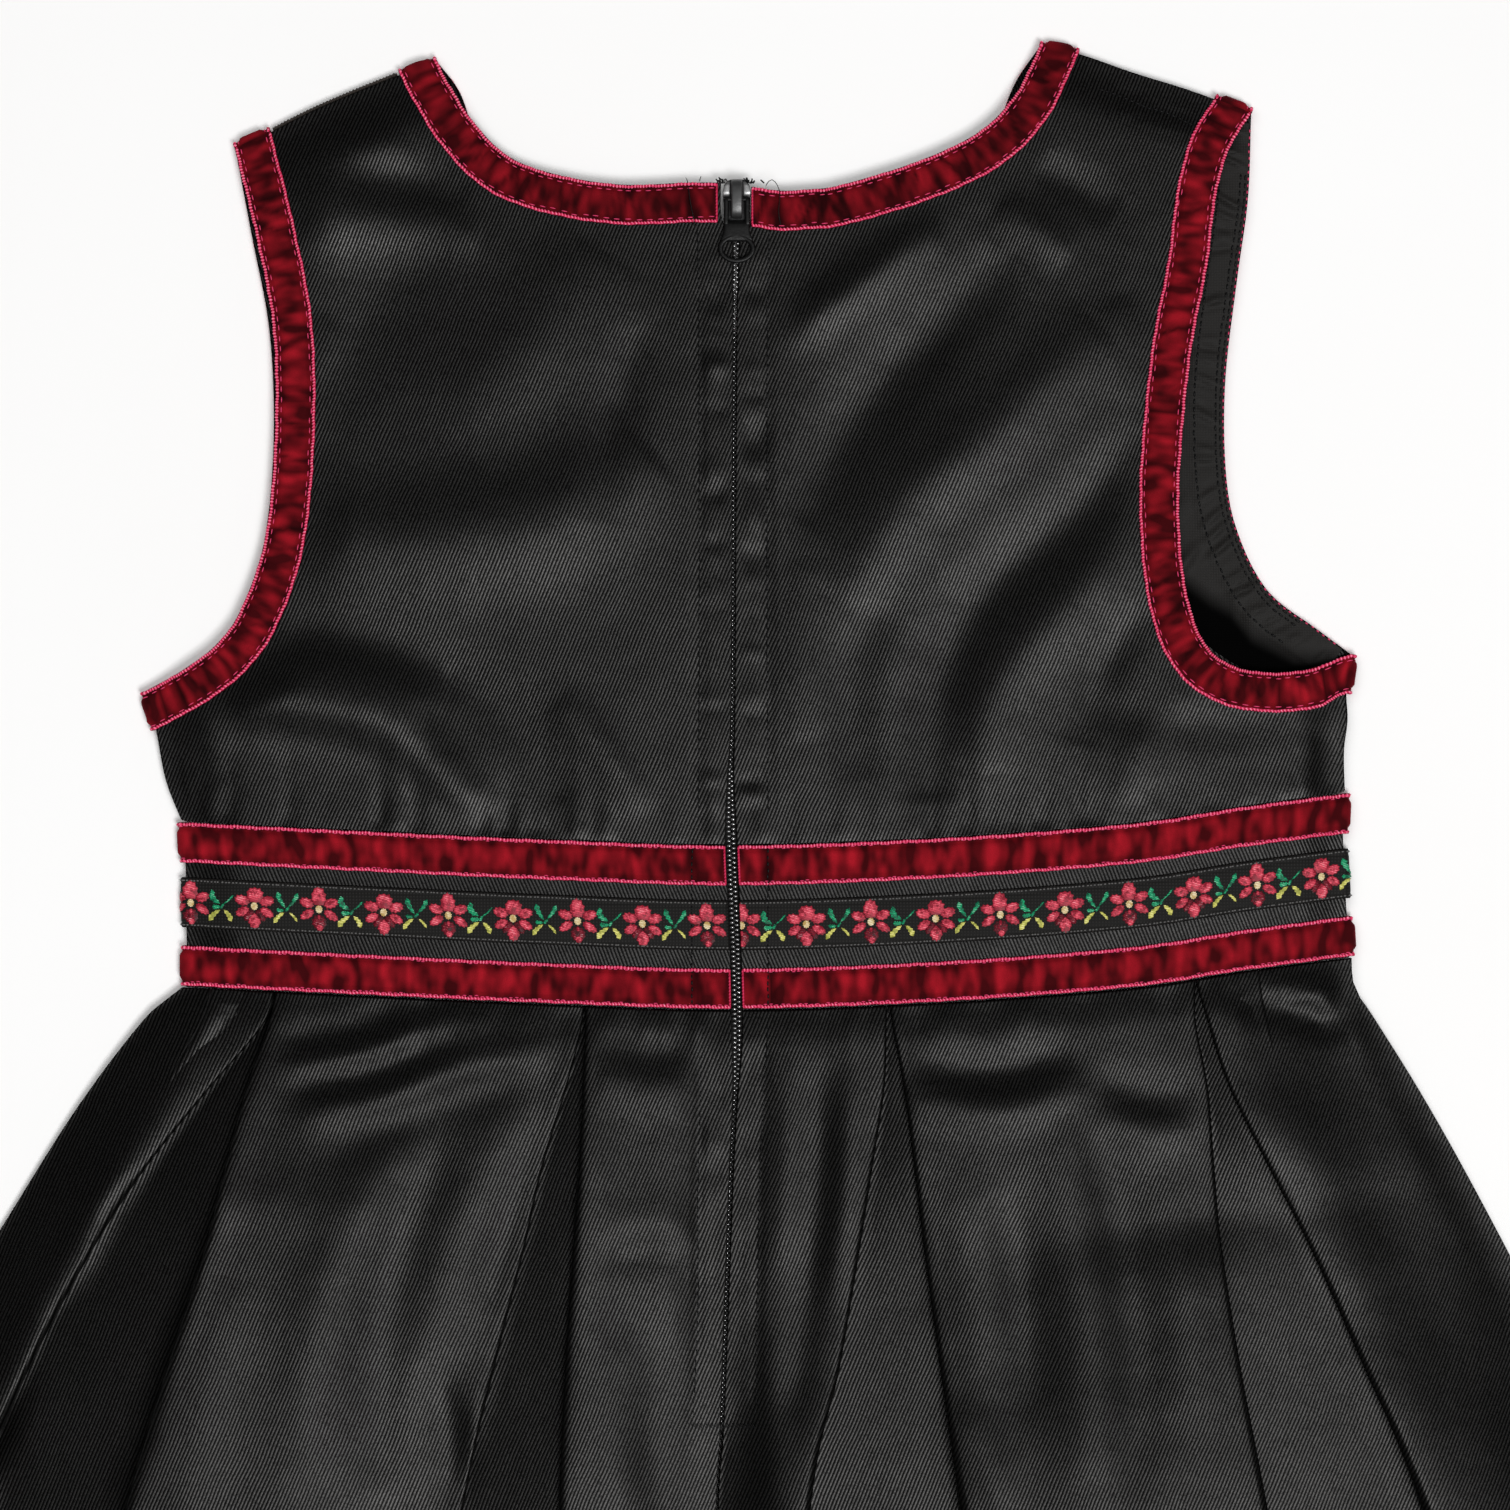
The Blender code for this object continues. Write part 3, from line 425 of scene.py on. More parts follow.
def scaled(tree, value, by, plus):
    """The value times a factor, plus a number."""
    return number(tree, "MULTIPLY_ADD", value, by, plus)


def mixed(tree, share, one, two):
    """Colour between one, at share 0, and two, at share 1."""
    made = tree.nodes.new("ShaderNodeMix")
    made.data_type = "RGBA"
    for index, value in ((0, share), (6, one), (7, two)):
        fed(tree, made.inputs[index], value)
    return made.outputs[2]


def place(tree, which="Object"):
    """Places on the piece: its own coordinates, or its UV map."""
    return node(tree, "ShaderNodeTexCoord").outputs[which]


def attribute(tree, name):
    """A value that the mesh holds for each point."""
    return node(tree, "ShaderNodeAttribute", attribute_name=name).outputs["Fac"]


def noise(tree, where, scale, detail=2.0, rough=0.5):
    """Noise of 0 to 1 at so many cells a metre."""
    return node(tree, "ShaderNodeTexNoise", {"Vector": where, "Scale": scale, "Detail": detail,
                                             "Roughness": rough}).outputs["Fac"]


def spread(tree, value, low, high):
    """The value's range from low to high, drawn out to 0 to 1."""
    return node(tree, "ShaderNodeMapRange", {"Value": value, "From Min": low,
                                             "From Max": high}).outputs[0]


def lifted(tree, height, distance, under=None):
    """Bump from a height of 0 to 1 that stands for a real distance in metres."""
    inputs = {"Height": height, "Distance": distance, "Strength": 1.0}
    if under is not None:
        inputs["Normal"] = under
    return node(tree, "ShaderNodeBump", inputs).outputs[0]


def grey(value, warm=0.0):
    """A grey, or a warmer one with more red and less blue by the share warm."""
    return (value * (1 + warm), value, value * (1 - warm), 1.0)


def started(name, **values):
    """New material with its shader's fixed values set; returns it, its tree and shader."""
    made = bpy.data.materials.new(name)
    made.use_nodes = True
    tree = made.node_tree
    shader = tree.nodes["Principled BSDF"]
    for key, value in values.items():
        shader.inputs[key.replace("_", " ")].default_value = value
    return made, tree, shader


def painted(tree, shader, colour, normal):
    """Links the colour and the bump that every finish has."""
    tree.links.new(colour, shader.inputs["Base Color"])
    tree.links.new(normal, shader.inputs["Normal"])


def banded(tree, where, degrees, pitch):
    """0 to 1 in lines that run at an angle, one for each pitch in metres."""
    turned = node(tree, "ShaderNodeMapping", {"Vector": where,
                                              "Rotation": (0, 0, -math.radians(degrees))})
    apart = node(tree, "ShaderNodeSeparateXYZ", {0: turned.outputs[0]}).outputs[1]
    wave = number(tree, "SINE", number(tree, "MULTIPLY", apart, 2 * math.pi / pitch))
    return scaled(tree, wave, 0.5, 0.5)


def bent(tree, where, scale, by):
    """Places shifted a little by noise, so that woven lines aren't ruled."""
    shift = node(tree, "ShaderNodeTexNoise", {"Vector": where, "Scale": scale, "Detail": 1.0})
    small = node(tree, "ShaderNodeVectorMath", {0: shift.outputs["Color"], 1: (0.5, 0.5, 0.5)},
                 operation="SUBTRACT").outputs[0]
    small = node(tree, "ShaderNodeVectorMath", {0: small, "Scale": by},
                 operation="SCALE").outputs[0]
    return node(tree, "ShaderNodeVectorMath", {0: where, 1: small}, operation="ADD").outputs[0]


TWILL_PITCH = 0.00085  # from one raised line of the satin to the next, in metres


def satin_twill(name, degrees, gloss=0.5):
    """Black satin twill: raised lines at a steep angle, each of them glossy along its top
    and dull between, over soft mottling where the cloth was handled. Its colour is painted a
    little lighter along each line's top and darker between: painted light and shade."""
    made, tree, shader = started(name, Roughness=0.4, Specular_IOR_Level=gloss)
    where = place(tree)
    lines = banded(tree, bent(tree, where, 60, 0.0012), degrees, TWILL_PITCH)
    fibre = noise(tree, where, 2300)
    top = number(tree, "MULTIPLY", lines, scaled(tree, fibre, 2.4, -0.3))
    tree.links.new(mixed(tree, top, grey(0.03), grey(1.0, 0.02)), shader.inputs["Specular Tint"])
    tree.links.new(scaled(tree, noise(tree, where, 35, 4), 0.16, 0.31), shader.inputs["Roughness"])
    cloudy = lifted(tree, noise(tree, where, 55), 0.00035)
    # Painted light and shade: the base colour is lighter on the twill lines' tops, darker in the
    # grooves.
    painted(tree, shader, mixed(tree, top, grey(0.0005), grey(0.005, 0.03)),
            lifted(tree, lines, 0.00003, cloudy))
    return made


def plain_weave(name, colour, rough, pitch, inner=None):
    """Plain black weave: crossed threads in relief, dull, their colour painted lighter where
    they cross and darker between, a painted light and shade. If inner is given, a darker grey
    with dimmer reflections where the attribute of that name says: painted shade."""
    made, tree, shader = started(name, Roughness=rough, Specular_IOR_Level=0.12)
    where = place(tree)
    cross = number(tree, "MULTIPLY", banded(tree, where, 90, pitch), banded(tree, where, 0, pitch))
    # Painted light and shade: lighter where the threads cross, darker between them.
    shaded_weave_grey = mixed(tree, cross, grey(colour * 0.6, 0.06), grey(colour * 1.7, 0.06))
    if inner is not None:
        # Painted shade: darker colour and dimmer reflections where the attribute inner says.
        share = attribute(tree, "inner")
        shaded_weave_grey = mixed(tree, share, shaded_weave_grey, grey(inner))
        tree.links.new(mixed(tree, share, grey(1.0), grey(0.05)), shader.inputs["Specular Tint"])
    painted(tree, shader, shaded_weave_grey, lifted(tree, cross, 0.00006))
    return made


# ------------ creases

# Soft ridges and troughs: height, width, then the path.
BODICE_CREASES = [
    (-0.9, 6, [(-112.5, 279.9), (-88.8, 278.1), (-66.2, 274.4)]),
    (0.8, 7, [(-108.8, 263.9), (-86.2, 265.6), (-63.8, 261.9)]),
    (0.9, 13, [(-33.8, 259.4), (-51.2, 234.4), (-71.2, 214.4)]),
    (-0.7, 12, [(-71.2, 265.6), (-91.2, 241.9), (-108.8, 221.9)]),
    (2.1, 14, [(-108.8, 188.1), (-76.2, 186.9), (-43.8, 193.1), (-21.2, 209.4)]),
    (1.9, 7, [(-125, 146.9), (-91.2, 141.4), (-73.8, 129.9), (-63.8, 116.4)]),
    (-0.8, 7, [(-111.2, 164.4), (-73.8, 154.4), (-53.8, 140.6), (-43.8, 120.6)]),
    (0.7, 5, [(-43.8, 146.9), (-31.2, 131.9), (-23.8, 118.1)]),
    (-0.6, 5, [(-138.8, 136.9), (-130, 124.4)]),
    (0.6, 6, [(-101.2, 241.9), (-108.8, 226.9), (-111.2, 211.9)]),
    (-0.5, 5, [(-23.8, 239.4), (-31.2, 211.9), (-33.8, 191.9)]),
    (1.4, 6, [(50, 266.4), (31.2, 250.6), (10, 236.4)]),
    (-1.5, 9, [(67.5, 256.4), (48.8, 238.1), (28.8, 215.6), (15, 191.9)]),
    (1.6, 10, [(91.2, 239.4), (67.5, 216.9), (42.5, 195.6), (27.5, 171.9)]),
    (-1.7, 8, [(103.8, 211.9), (78.8, 188.1), (60, 170.6), (50, 146.9), (48.8, 121.9)]),
    (1.2, 8, [(105, 191.9), (86.2, 173.1), (67.5, 151.9), (62.5, 129.4)]),
    (-1, 6, [(106.2, 171.9), (92.5, 155.6), (86.2, 135.6)]),
    (0.8, 6, [(113.8, 149.4), (102.5, 136.9), (98.8, 120.6)]),
    (0.8, 5, [(66.2, 270.6), (83.8, 258.1)]),
    (-0.8, 5, [(76.2, 280.6), (95, 268.9)]),
    (-0.6, 6, [(36.2, 171.9), (28.8, 151.9), (31.2, 126.9)]),
    (0.7, 7, [(16.2, 181.9), (13.8, 159.4), (16.2, 136.9)]),
    (0.6, 6, [(96.2, 246.9), (100, 221.9)]),
    (1.7, 12, [(-118.2, 246.9), (-110.8, 268.1), (-83.8, 289.4)]),
    (2.4, 10, [(-136.2, 145.6), (-101.2, 151.9), (-73.8, 145.6)]),
    (-0.6, 6, [(91.2, 143.9), (116.2, 141.4), (141.2, 143.9)]),
]

# The same on the skirt's top layers.
SKIRT_CREASES = [
    (1.12, 7, [(-114.8, 64.4), (-125.8, 39.4), (-134.8, 9.4), (-141.2, -18.1), (-146.2, -53.1)]),
    (0.96, 7, [(-35.8, 61.9), (-36.8, 26.9), (-38.8, -8.1), (-42.2, -53.1)]),
    (1.28, 9, [(-130, 68.1), (-148.8, 39.4), (-173.8, -0.6)]),
    (-1.28, 4, [(-146.2, 28.1), (-157.5, 13.1)]),
    (0.96, 6, [(-143.8, 18.1), (-152.5, 5.6), (-160, -10.6)]),
    (-1.04, 6, [(-160, -0.6), (-168.8, -14.4)]),
    (-1.6, 10, [(-146.2, -28.1), (-168.8, -36.9), (-198.8, -40.6)]),
    (1.44, 10, [(-151.2, -44.4), (-176.2, -53.1), (-198.8, -58.1)]),
    (1.2, 3.5, [(-112.5, 55.4), (-91.2, 59.4), (-73.8, 66.4), (-58.8, 69.9)]),
    (-1.04, 3.5, [(-113.8, 61.9), (-93.8, 65.4), (-78.8, 70.9)]),
    (-0.96, 3.5, [(-110, 50.4), (-88.8, 54.9), (-70, 61.9)]),
    (1.36, 4, [(-108.8, 43.9), (-88.8, 47.4), (-70, 55.4), (-46.2, 58.9)]),
    (-0.72, 5, [(-101.2, 34.4), (-78.8, 42.4), (-53.8, 50.6)]),
    (0.96, 8, [(-82.5, 39.4), (-96.2, 14.4), (-104.2, -13.1), (-107.5, -48.1)]),
    (-0.88, 7, [(-72.5, 39.4), (-81.8, 14.4), (-87.5, -8.1), (-90, -48.1)]),
    (0.8, 8, [(-53.8, 44.4), (-66.2, 19.4), (-73.8, -5.6), (-77.5, -28.1)]),
    (-0.96, 6, [(-46.8, 41.9), (-55, 19.4), (-61.2, -5.6)]),
    (0.96, 6, [(-66.2, -20.6), (-63.8, -38.1), (-58.8, -55.6)]),
    (-0.96, 5, [(-76.2, -18.1), (-71.2, -33.1), (-70, -55.6)]),
    (0.8, 7, [(-125, 1.9), (-132.5, -28.1), (-136.2, -55.6)]),
    (-0.8, 5, [(-33.8, 60.6), (-21.2, 58.9), (-8.8, 60.9)]),
    (0.72, 6, [(-33.8, 53.1), (-18.8, 50.6), (-8.8, 52.4)]),
    (0.64, 6, [(-33.8, 14.4), (-21.2, 16.4), (-11.2, 11.9)]),
    (-0.72, 4, [(-31.2, 8.1), (-18.8, 9.9), (-10, 6.4)]),
    (0.72, 8, [(-28.8, -10.6), (-31.2, -35.6), (-27.5, -55.6)]),
    (-0.56, 6, [(-17.5, -10.6), (-20, -38.1), (-18.8, -55.6)]),
    (0.8, 10, [(-13.8, 49.4), (-13.2, -3.1), (-14.8, -53.1)]),
    (0.64, 5, [(11.8, 56.9), (11.2, 31.9), (10, 6.9)]),
    (-0.8, 5, [(21.8, 54.4), (21.2, 26.9), (18.2, -3.1), (13.8, -33.1)]),
    (0.88, 5, [(28.8, 51.9), (27.5, 24.4), (24.2, -3.1)]),
    (0.72, 6, [(8.8, -10.6), (6.8, -35.6), (8.8, -55.6)]),
    (-1.2, 4, [(45, 56.4), (63.8, 53.9), (83.8, 58.9)]),
    (1.28, 5, [(42.5, 47.4), (66.2, 44.9), (87.5, 50.9)]),
    (-0.88, 4, [(91.2, 51.9), (103.8, 47.9), (115, 48.9)]),
    (0.8, 5, [(88.8, 42.4), (103.8, 39.4), (113.8, 40.4)]),
    (1.04, 8, [(81.2, 41.9), (85.8, 11.9), (88.8, -18.1), (87.5, -48.1)]),
    (-0.8, 7, [(91.2, 39.4), (95.8, 11.9), (100, -18.1), (98.8, -53.1)]),
    (0.88, 8, [(56.2, 26.9), (60, -3.1), (62.5, -28.1)]),
    (-0.8, 6, [(68.8, 21.9), (72.5, -5.6), (73.8, -33.1)]),
    (0.96, 6, [(56.2, -28.1), (62.5, -43.1), (66.2, -55.6)]),
    (0.72, 7, [(107.5, 26.9), (112.5, -3.1), (115, -33.1)]),
    (-1.36, 3.5, [(121.5, 73.6), (137.5, 69.9), (149.2, 66.4), (155.2, 74.9)]),
    (1.2, 4, [(126.2, 77.4), (142.5, 73.9), (151.8, 71.9)]),
    (0.64, 5, [(153.8, 61.9), (161.2, 66.9), (163.8, 71.9)]),
    (0.48, 9, [(132.5, 46.9), (143.8, 21.9), (156.2, -5.6)]),
    (-0.36, 9, [(152.5, 41.9), (163.8, 14.4), (176.2, -15.6)]),
    (0.48, 9, [(166.2, 39.4), (178.8, 9.4), (191.2, -23.1)]),
    (-0.4, 9, [(141.2, 6.9), (151.2, -15.6), (158.8, -43.1)]),
    (0.48, 9, [(158.8, -15.6), (166.2, -38.1), (172.5, -55.6)]),
    (1.44, 11, [(-108.8, -53.1), (-116.2, -153.1), (-126.2, -278.1)]),
    (-1.2, 9, [(-88.8, -58.1), (-96.2, -128.1), (-101.2, -253.1)]),
    (1.2, 10, [(-66.2, -68.1), (-71.2, -153.1), (-78.8, -303.1)]),
    (1.12, 12, [(-28.8, -58.1), (-36.2, -128.1), (-33.8, -228.1)]),
    (-0.96, 9, [(-11.2, -103.1), (-13.8, -178.1), (-16.2, -303.1)]),
    (1.04, 10, [(21.2, -68.1), (23.8, -153.1), (16.2, -298.1)]),
    (1.44, 10, [(68.8, -58.1), (73.8, -153.1), (86.2, -293.1)]),
    (-1.2, 9, [(93.8, -63.1), (98.8, -153.1), (113.8, -253.1)]),
    (1.2, 11, [(111.2, -78.1), (123.8, -178.1), (138.8, -298.1)]),
    (1.28, 12, [(173.8, -58.1), (191.2, -128.1), (206.2, -228.1)]),
    (-1.12, 10, [(201.2, -78.1), (216.2, -153.1), (236.2, -253.1)]),
    (1.28, 12, [(-168.8, -63.1), (-183.8, -128.1), (-206.2, -228.1)]),
    (-1.12, 10, [(-193.8, -68.1), (-213.8, -140.6), (-228.8, -240.6)]),
    (1.04, 11, [(-208.8, -103.1), (-231.2, -178.1), (-248.8, -253.1)]),
    (0.96, 10, [(221.2, -103.1), (241.2, -178.1), (256.2, -265.6)]),
]

# Seams and stitch lines that press into the satin, on the bodice and the skirt.
BODICE_GROOVES = [
    (-0.5, 1.2, [(89.2, 300.4), (97, 297.6), (102.8, 295.1), (108.5, 293.4), (117.2, 289.4)]),
    (0.4, 0.9, [(89.2, 298.4), (97, 295.6), (102.8, 293.1), (108.5, 291.4), (117.2, 287.4)]),
    (-0.45, 1.3, [(147.5, 147.4), (147.5, 135.6), (147.2, 123.9)]),
    (-0.32, 1.1, [(-9.5, 265.6), (-9, 239.4), (-9, 179.4), (-9.2, 116.9)]),
    (-0.32, 1.1, [(8.5, 264.4), (8, 239.4), (8, 179.4), (8.2, 116.9)]),
]

SKIRT_GROOVES = [
    (-0.35, 1.5, [(164, 66.1), (171.5, 54.6), (178.5, 42.4), (183.8, 29.4), (189, 18.9),
                  (196.2, 3.1), (226.2, -68.1), (251.2, -178.1)]),
    (-0.32, 1.2, [(-8, 66.9), (-9.2, 24.9), (-9.2, -5.9), (-10.5, -33.1)]),
    (-0.2, 1.4, [(8.2, 66.9), (6.2, 29.4), (5.8, 2.9), (5.2, -33.1)]),
    (-0.4, 1.5, [(-2.5, -36.1), (-4.5, -55.6), (-5.8, -128.1), (-6.8, -313.1)]),
]


CREASE_POINTS = 10  # along each crease
CREASE_END = 0.15  # height left at a crease's ends, as a share of its middle


def crease_field(table, x, y):
    """Sum of creases: each is its height times a bell curve of the distance from its path
    over its width, and tapers towards both ends of the path as the root of a sine."""
    total = np.zeros(np.shape(x))
    for height, width, table_path in table:
        path = spline(table_path, CREASE_POINTS)
        nearest, where = nearest_on(path, x, y)
        share = where / run_along(path)[-1]
        middle = np.sqrt(np.clip(np.sin(share * math.pi), 0.0, 1.0))
        taper = middle * (1 - CREASE_END) + CREASE_END
        total += height * taper * bell(nearest, width * (0.75 + 0.25 * taper))
    return total


def gathers(centres, lengths, heights, widths, x, away):
    """Small puckers that start on a seam: bell curves of x about each centre, dying out with
    the distance from the seam over a length of their own."""
    total = np.zeros(np.shape(x))
    for centre, length, height, width in zip(centres, lengths, heights, widths):
        total += height * bell(x - centre, width) * bell(away, length)
    return total


# ------------ bodice

SATIN = satin_twill("black satin twill", 67)
SATIN_FRONT = satin_twill("black satin twill of the front", 113)
SATIN_BAND = satin_twill("black satin twill of the waistband", 112, gloss=0.55)
SATIN_SKIRT = satin_twill("black satin twill of the skirt", 67, gloss=0.35)
# inner: the darker grey of the painted shade where the lining goes down inside.
LINING = plain_weave("black lining", 0.016, 0.5, 0.0004, inner=0.0008)
PUCKER_SEED = 5
NO_END = 1e6  # length of a pucker that doesn't die out
rng = np.random.default_rng(PUCKER_SEED)


def drawn(count, *ranges):
    """So many random numbers in each of the ranges."""
    return [rng.uniform(low, high, count) for low, high in ranges]


def scattered(pitch, shift, *ranges):
    """Puckers along the waist: places at a pitch, each moved by up to a shift, and their
    lengths, heights and widths in the ranges."""
    at = np.arange(-150, 165, pitch)
    moved, *sizes = drawn(len(at), (-shift, shift), *ranges)
    return at + moved, *sizes


WAIST_PUCKERS = scattered(6.5, 2.5, (5, 15), (-0.55, 0.55), (1.0, 2.4))
PLACKET_COUNT = 80
PLACKET_PUCKERS = [(side, *drawn(PLACKET_COUNT, (-34, 262), (-0.36, 0.3), (1.3, 3.2)))
                   for side in (-1, 1)]  # side, then places, heights and widths
PLACKET_MIDDLE = 4.9  # from the zip to the middle of the strip beside it
PLACKET_HALF = 2.7
PLACKET_SLANT = 0.12
BAND_MIDDLE_Y = 88.0  # the waistband, where the strips have no puckers
FROM_BAND = (23, 10)  # where they start, and over what length they do
# Where the back's creases start, over what length, and what share of them is there before.
FROM_EDGE, FROM_SEAM, FROM_ZIP, FROM_WAIST = (6, 16, 0.25), (0, 18), (8, 14, 0.12), (0, 12)
DEEPEST, DEEP_FROM_SEAM = 1.7, (0, 24)  # the deepest trough, and where it starts


def placket(x, y):
    """Small puckers across the strips between the zip and the stitches beside it: bell
    curves of y about uneven places, times a flat-topped one of the distance from the zip."""
    total = np.zeros(np.shape(x))
    endless = np.full(PLACKET_COUNT, NO_END)
    for side, at, heights, widths in PLACKET_PUCKERS:
        across = np.exp(-((side * (x - zip_x(y)) - PLACKET_MIDDLE) / PLACKET_HALF) ** 4)
        total += across * gathers(np.sort(at), endless, heights, widths,
                                  y + PLACKET_SLANT * x, 0 * y)
    return total * fade(np.abs(y - BAND_MIDDLE_Y), *FROM_BAND)


def back_face(x, y):
    """Height of the back's upper face: the solid's, with creases and the puckers above the
    waist seam; they die out under the ribbons, at the seams and along the zip."""
    from_seam = distance_to(SEAMS, x, y)
    from_edge = distance_to(EDGES, x, y)
    from_zip = np.abs(x - zip_x(y))
    above = y - waist_y(x)
    calm = fade(from_edge, *FROM_EDGE) * fade(from_seam, *FROM_SEAM)
    calm = calm * fade(from_zip, *FROM_ZIP) * fade(above, *FROM_WAIST)
    shape = BACK + AIR * fade(from_seam, 0, AIR_RAMP) + SOLID_WALL
    creases = crease_field(BODICE_CREASES, x, y) * calm
    creases = np.maximum(creases, -DEEPEST * fade(from_seam, *DEEP_FROM_SEAM))
    puckers = gathers(*WAIST_PUCKERS, x, np.maximum(above, 0))
    puckers = puckers * fade(above, 0, 2) * fade(from_seam, 0, 6)
    return (shape + creases + puckers * (above > 0) + placket(x, y)
            + crease_field(BODICE_GROOVES, x, y) * (above > 1))


def on_back(grid, lift=0.0):
    """A grid of x, y laid on the back's upper face, or a lift above it."""
    return with_height(grid, back_face(grid[..., 0], grid[..., 1]) + lift)


def waist_line(left, right, count):
    """Points along the bodice's lower edge, from one corner's x to the other's."""
    xs = np.linspace(left[0], right[0], count)
    return points_at(xs, waist_y(xs) + SEAM / 2)


# Points along the edges of a back half and of the front.
NECK_COUNT, SHOULDER_COUNT, SIDE_COUNT, ARMHOLE_COUNT = 56, 34, 24, 104
FRONT_NECK_COUNT, FRONT_SHOULDER_COUNT, FRONT_SIDE_COUNT, FRONT_ARMHOLE_COUNT = 44, 16, 10, 46


def back_half(sign, neck, shoulder, armhole, side):
    """Grid of one back bodice half; sign is -1 left, 1 right."""
    top = joined(spline(neck, NECK_COUNT), spline(shoulder, SHOULDER_COUNT))
    right = joined(spline(side[::-1], SIDE_COUNT), spline(armhole[::-1], ARMHOLE_COUNT))
    ys = np.linspace(waist_y(0) + SEAM / 2, neck[0][1], len(right))
    left = points_at(zip_x(ys) + sign * zip_gap(ys), ys)
    top[0], right[0] = left[-1], right[0] + (0, SEAM / 2)
    bottom = waist_line(left[0], right[0], len(top))
    bottom[-1] = right[0]
    return filled(bottom, top, left, right)


def front_side(side, armhole):
    """A side edge of the front bodice, from the waist up to the shoulder."""
    edge = joined(spline(side[::-1], FRONT_SIDE_COUNT), spline(armhole[::-1], FRONT_ARMHOLE_COUNT))
    edge[0] += (0, SEAM / 2)
    return edge


def build_bodice():
    """The two back halves, the front under them and the lining strip in the right armhole."""
    for name, sign, *tables in (
            ("left", -1, NECK_LEFT, SHOULDER_LEFT, ARMHOLE_LEFT, SIDE_LEFT),
            ("right", 1, NECK_RIGHT, SHOULDER_RIGHT, ARMHOLE_RIGHT, SIDE_RIGHT)):
        cloth("satin_bodice_back_" + name, on_back(back_half(sign, *tables)), SATIN,
              ["bodice_back_" + name])
    left = front_side(SIDE_LEFT, FRONT_ARMHOLE_LEFT)
    right = front_side(SIDE_RIGHT, FRONT_ARMHOLE_RIGHT)
    top = joined(spline(SHOULDER_LEFT[::-1], FRONT_SHOULDER_COUNT),
                 spline(FRONT_NECK, FRONT_NECK_COUNT), spline(SHOULDER_RIGHT, FRONT_SHOULDER_COUNT))
    bottom = waist_line(left[0], right[0], len(top))
    bottom[0], bottom[-1] = left[0], right[0]
    cloth("satin_bodice_front", with_height(filled(bottom, top, left, right), FRONT),
          SATIN_FRONT, ["bodice_front"], up=-1)
    build_lining()


LINING_SEAM = 8.0  # from the armhole's edge to where the facing ends on the lining
# Below this line the lining goes down inside, where it is painted in shade.
LINING_TURN = np.array([(108, 182.0), (113, 179.1), (118.8, 174.6), (124, 171.9), (129.3, 165.4),
                        (140, 160.1), (153, 158.9)])  # below this line it goes down inside
FACING_PUCKERS = drawn(100, (0, 200), (1.5, 3.8), (-1.0, 1.3), (0.5, 1.0))
LINING_WRINKLES = drawn(26, (0, 185), (3, 6), (-0.9, 1.2), (0.9, 2.0))
LINING_ROWS, LINING_COLUMNS = 220, 26


def build_lining():
    """Strip of the front's lining along its right armhole, wide where the back uncovers it:
    its width is the root of a sine. Below the turn it goes down to the front's inside, and is
    painted darker there with dimmer reflections: painted shade."""
    edge = evenly(spline(FRONT_ARMHOLE_RIGHT, 60)[1:-1], LINING_ROWS)
    along = np.linspace(0.08, 0.94, LINING_ROWS) * math.pi
    away = np.linspace(0, 1, LINING_COLUMNS) * (LINING_WIDTH * np.sqrt(np.sin(along)))[:, None]
    grid = edge[:, None] + inward_of(edge, -1)[:, None] * (0.4 + away[..., None])
    turn_y = np.interp(grid[..., 0], LINING_TURN[:, 0], LINING_TURN[:, 1])
    # Share below the turn: the lining drops there and is painted in shade.
    below_turn_shade = ramp((turn_y - grid[..., 1] + 1.5) / 7)
    run = run_along(edge)[:, None]
    small = gathers(*FACING_PUCKERS, run + 0.5 * np.sin(run / 9) * away, away - 4.7)
    small += gathers(*LINING_WRINKLES, run - 0.5 * away, away - 14)
    small -= 0.35 * fade(away, LINING_SEAM, 0.8)
    high = np.maximum(BACK + SOLID_WALL * 0.9 - 0.7 * below_turn_shade + small, FRONT + SOLID_WALL + 0.2)
    cloth("lining_of_right_armhole", with_height(grid, high), LINING,
          ["armhole_lining"], values={"inner": below_turn_shade})


# ------------ waistband

BAND_ROWS, BAND_COLUMNS, BAND_FRONT_COLUMNS = 24, 100, 60


def band_grid(x0_of, x1_of, offsets, count):
    """Grid that runs along the waist seam, at distances below it, between two side curves."""
    u = np.linspace(0.0, 1.0, count)
    rows = []
    for offset in offsets:
        x = x0_of(110.0 - offset) + (x1_of(110.0 - offset) - x0_of(110.0 - offset)) * u
        for _ in range(3):
            y = waist_y(x) - offset
            x = x0_of(y[0]) + (x1_of(y[-1]) - x0_of(y[0])) * u
        rows.append(points_at(x, waist_y(x) - offset))
    return np.stack(rows)


def zip_left(y):
    """Edge of the left panels along the zip."""
    return zip_x(y) - zip_gap(y)


def zip_right(y):
    """Edge of the right panels along the zip."""
    return zip_x(y) + zip_gap(y)


def build_waistband():
    """The waistband's front and its two back pieces."""
    offsets = np.linspace(SEAM / 2, BAND_DEPTH - SEAM / 2, BAND_ROWS)
    front = band_grid(side_left, side_right, offsets, BAND_FRONT_COLUMNS)
    cloth("satin_waistband_front", with_height(front, FRONT), SATIN_FRONT,
          ["waistband_front"], up=-1)
    for name, x0, x1 in (("left", zip_left, side_left), ("right", zip_right, side_right)):
        cloth("satin_waistband_back_" + name, on_back(band_grid(x0, x1, offsets, BAND_COLUMNS)),
              SATIN_BAND, ["waistband_back_" + name])


# ------------ skirt

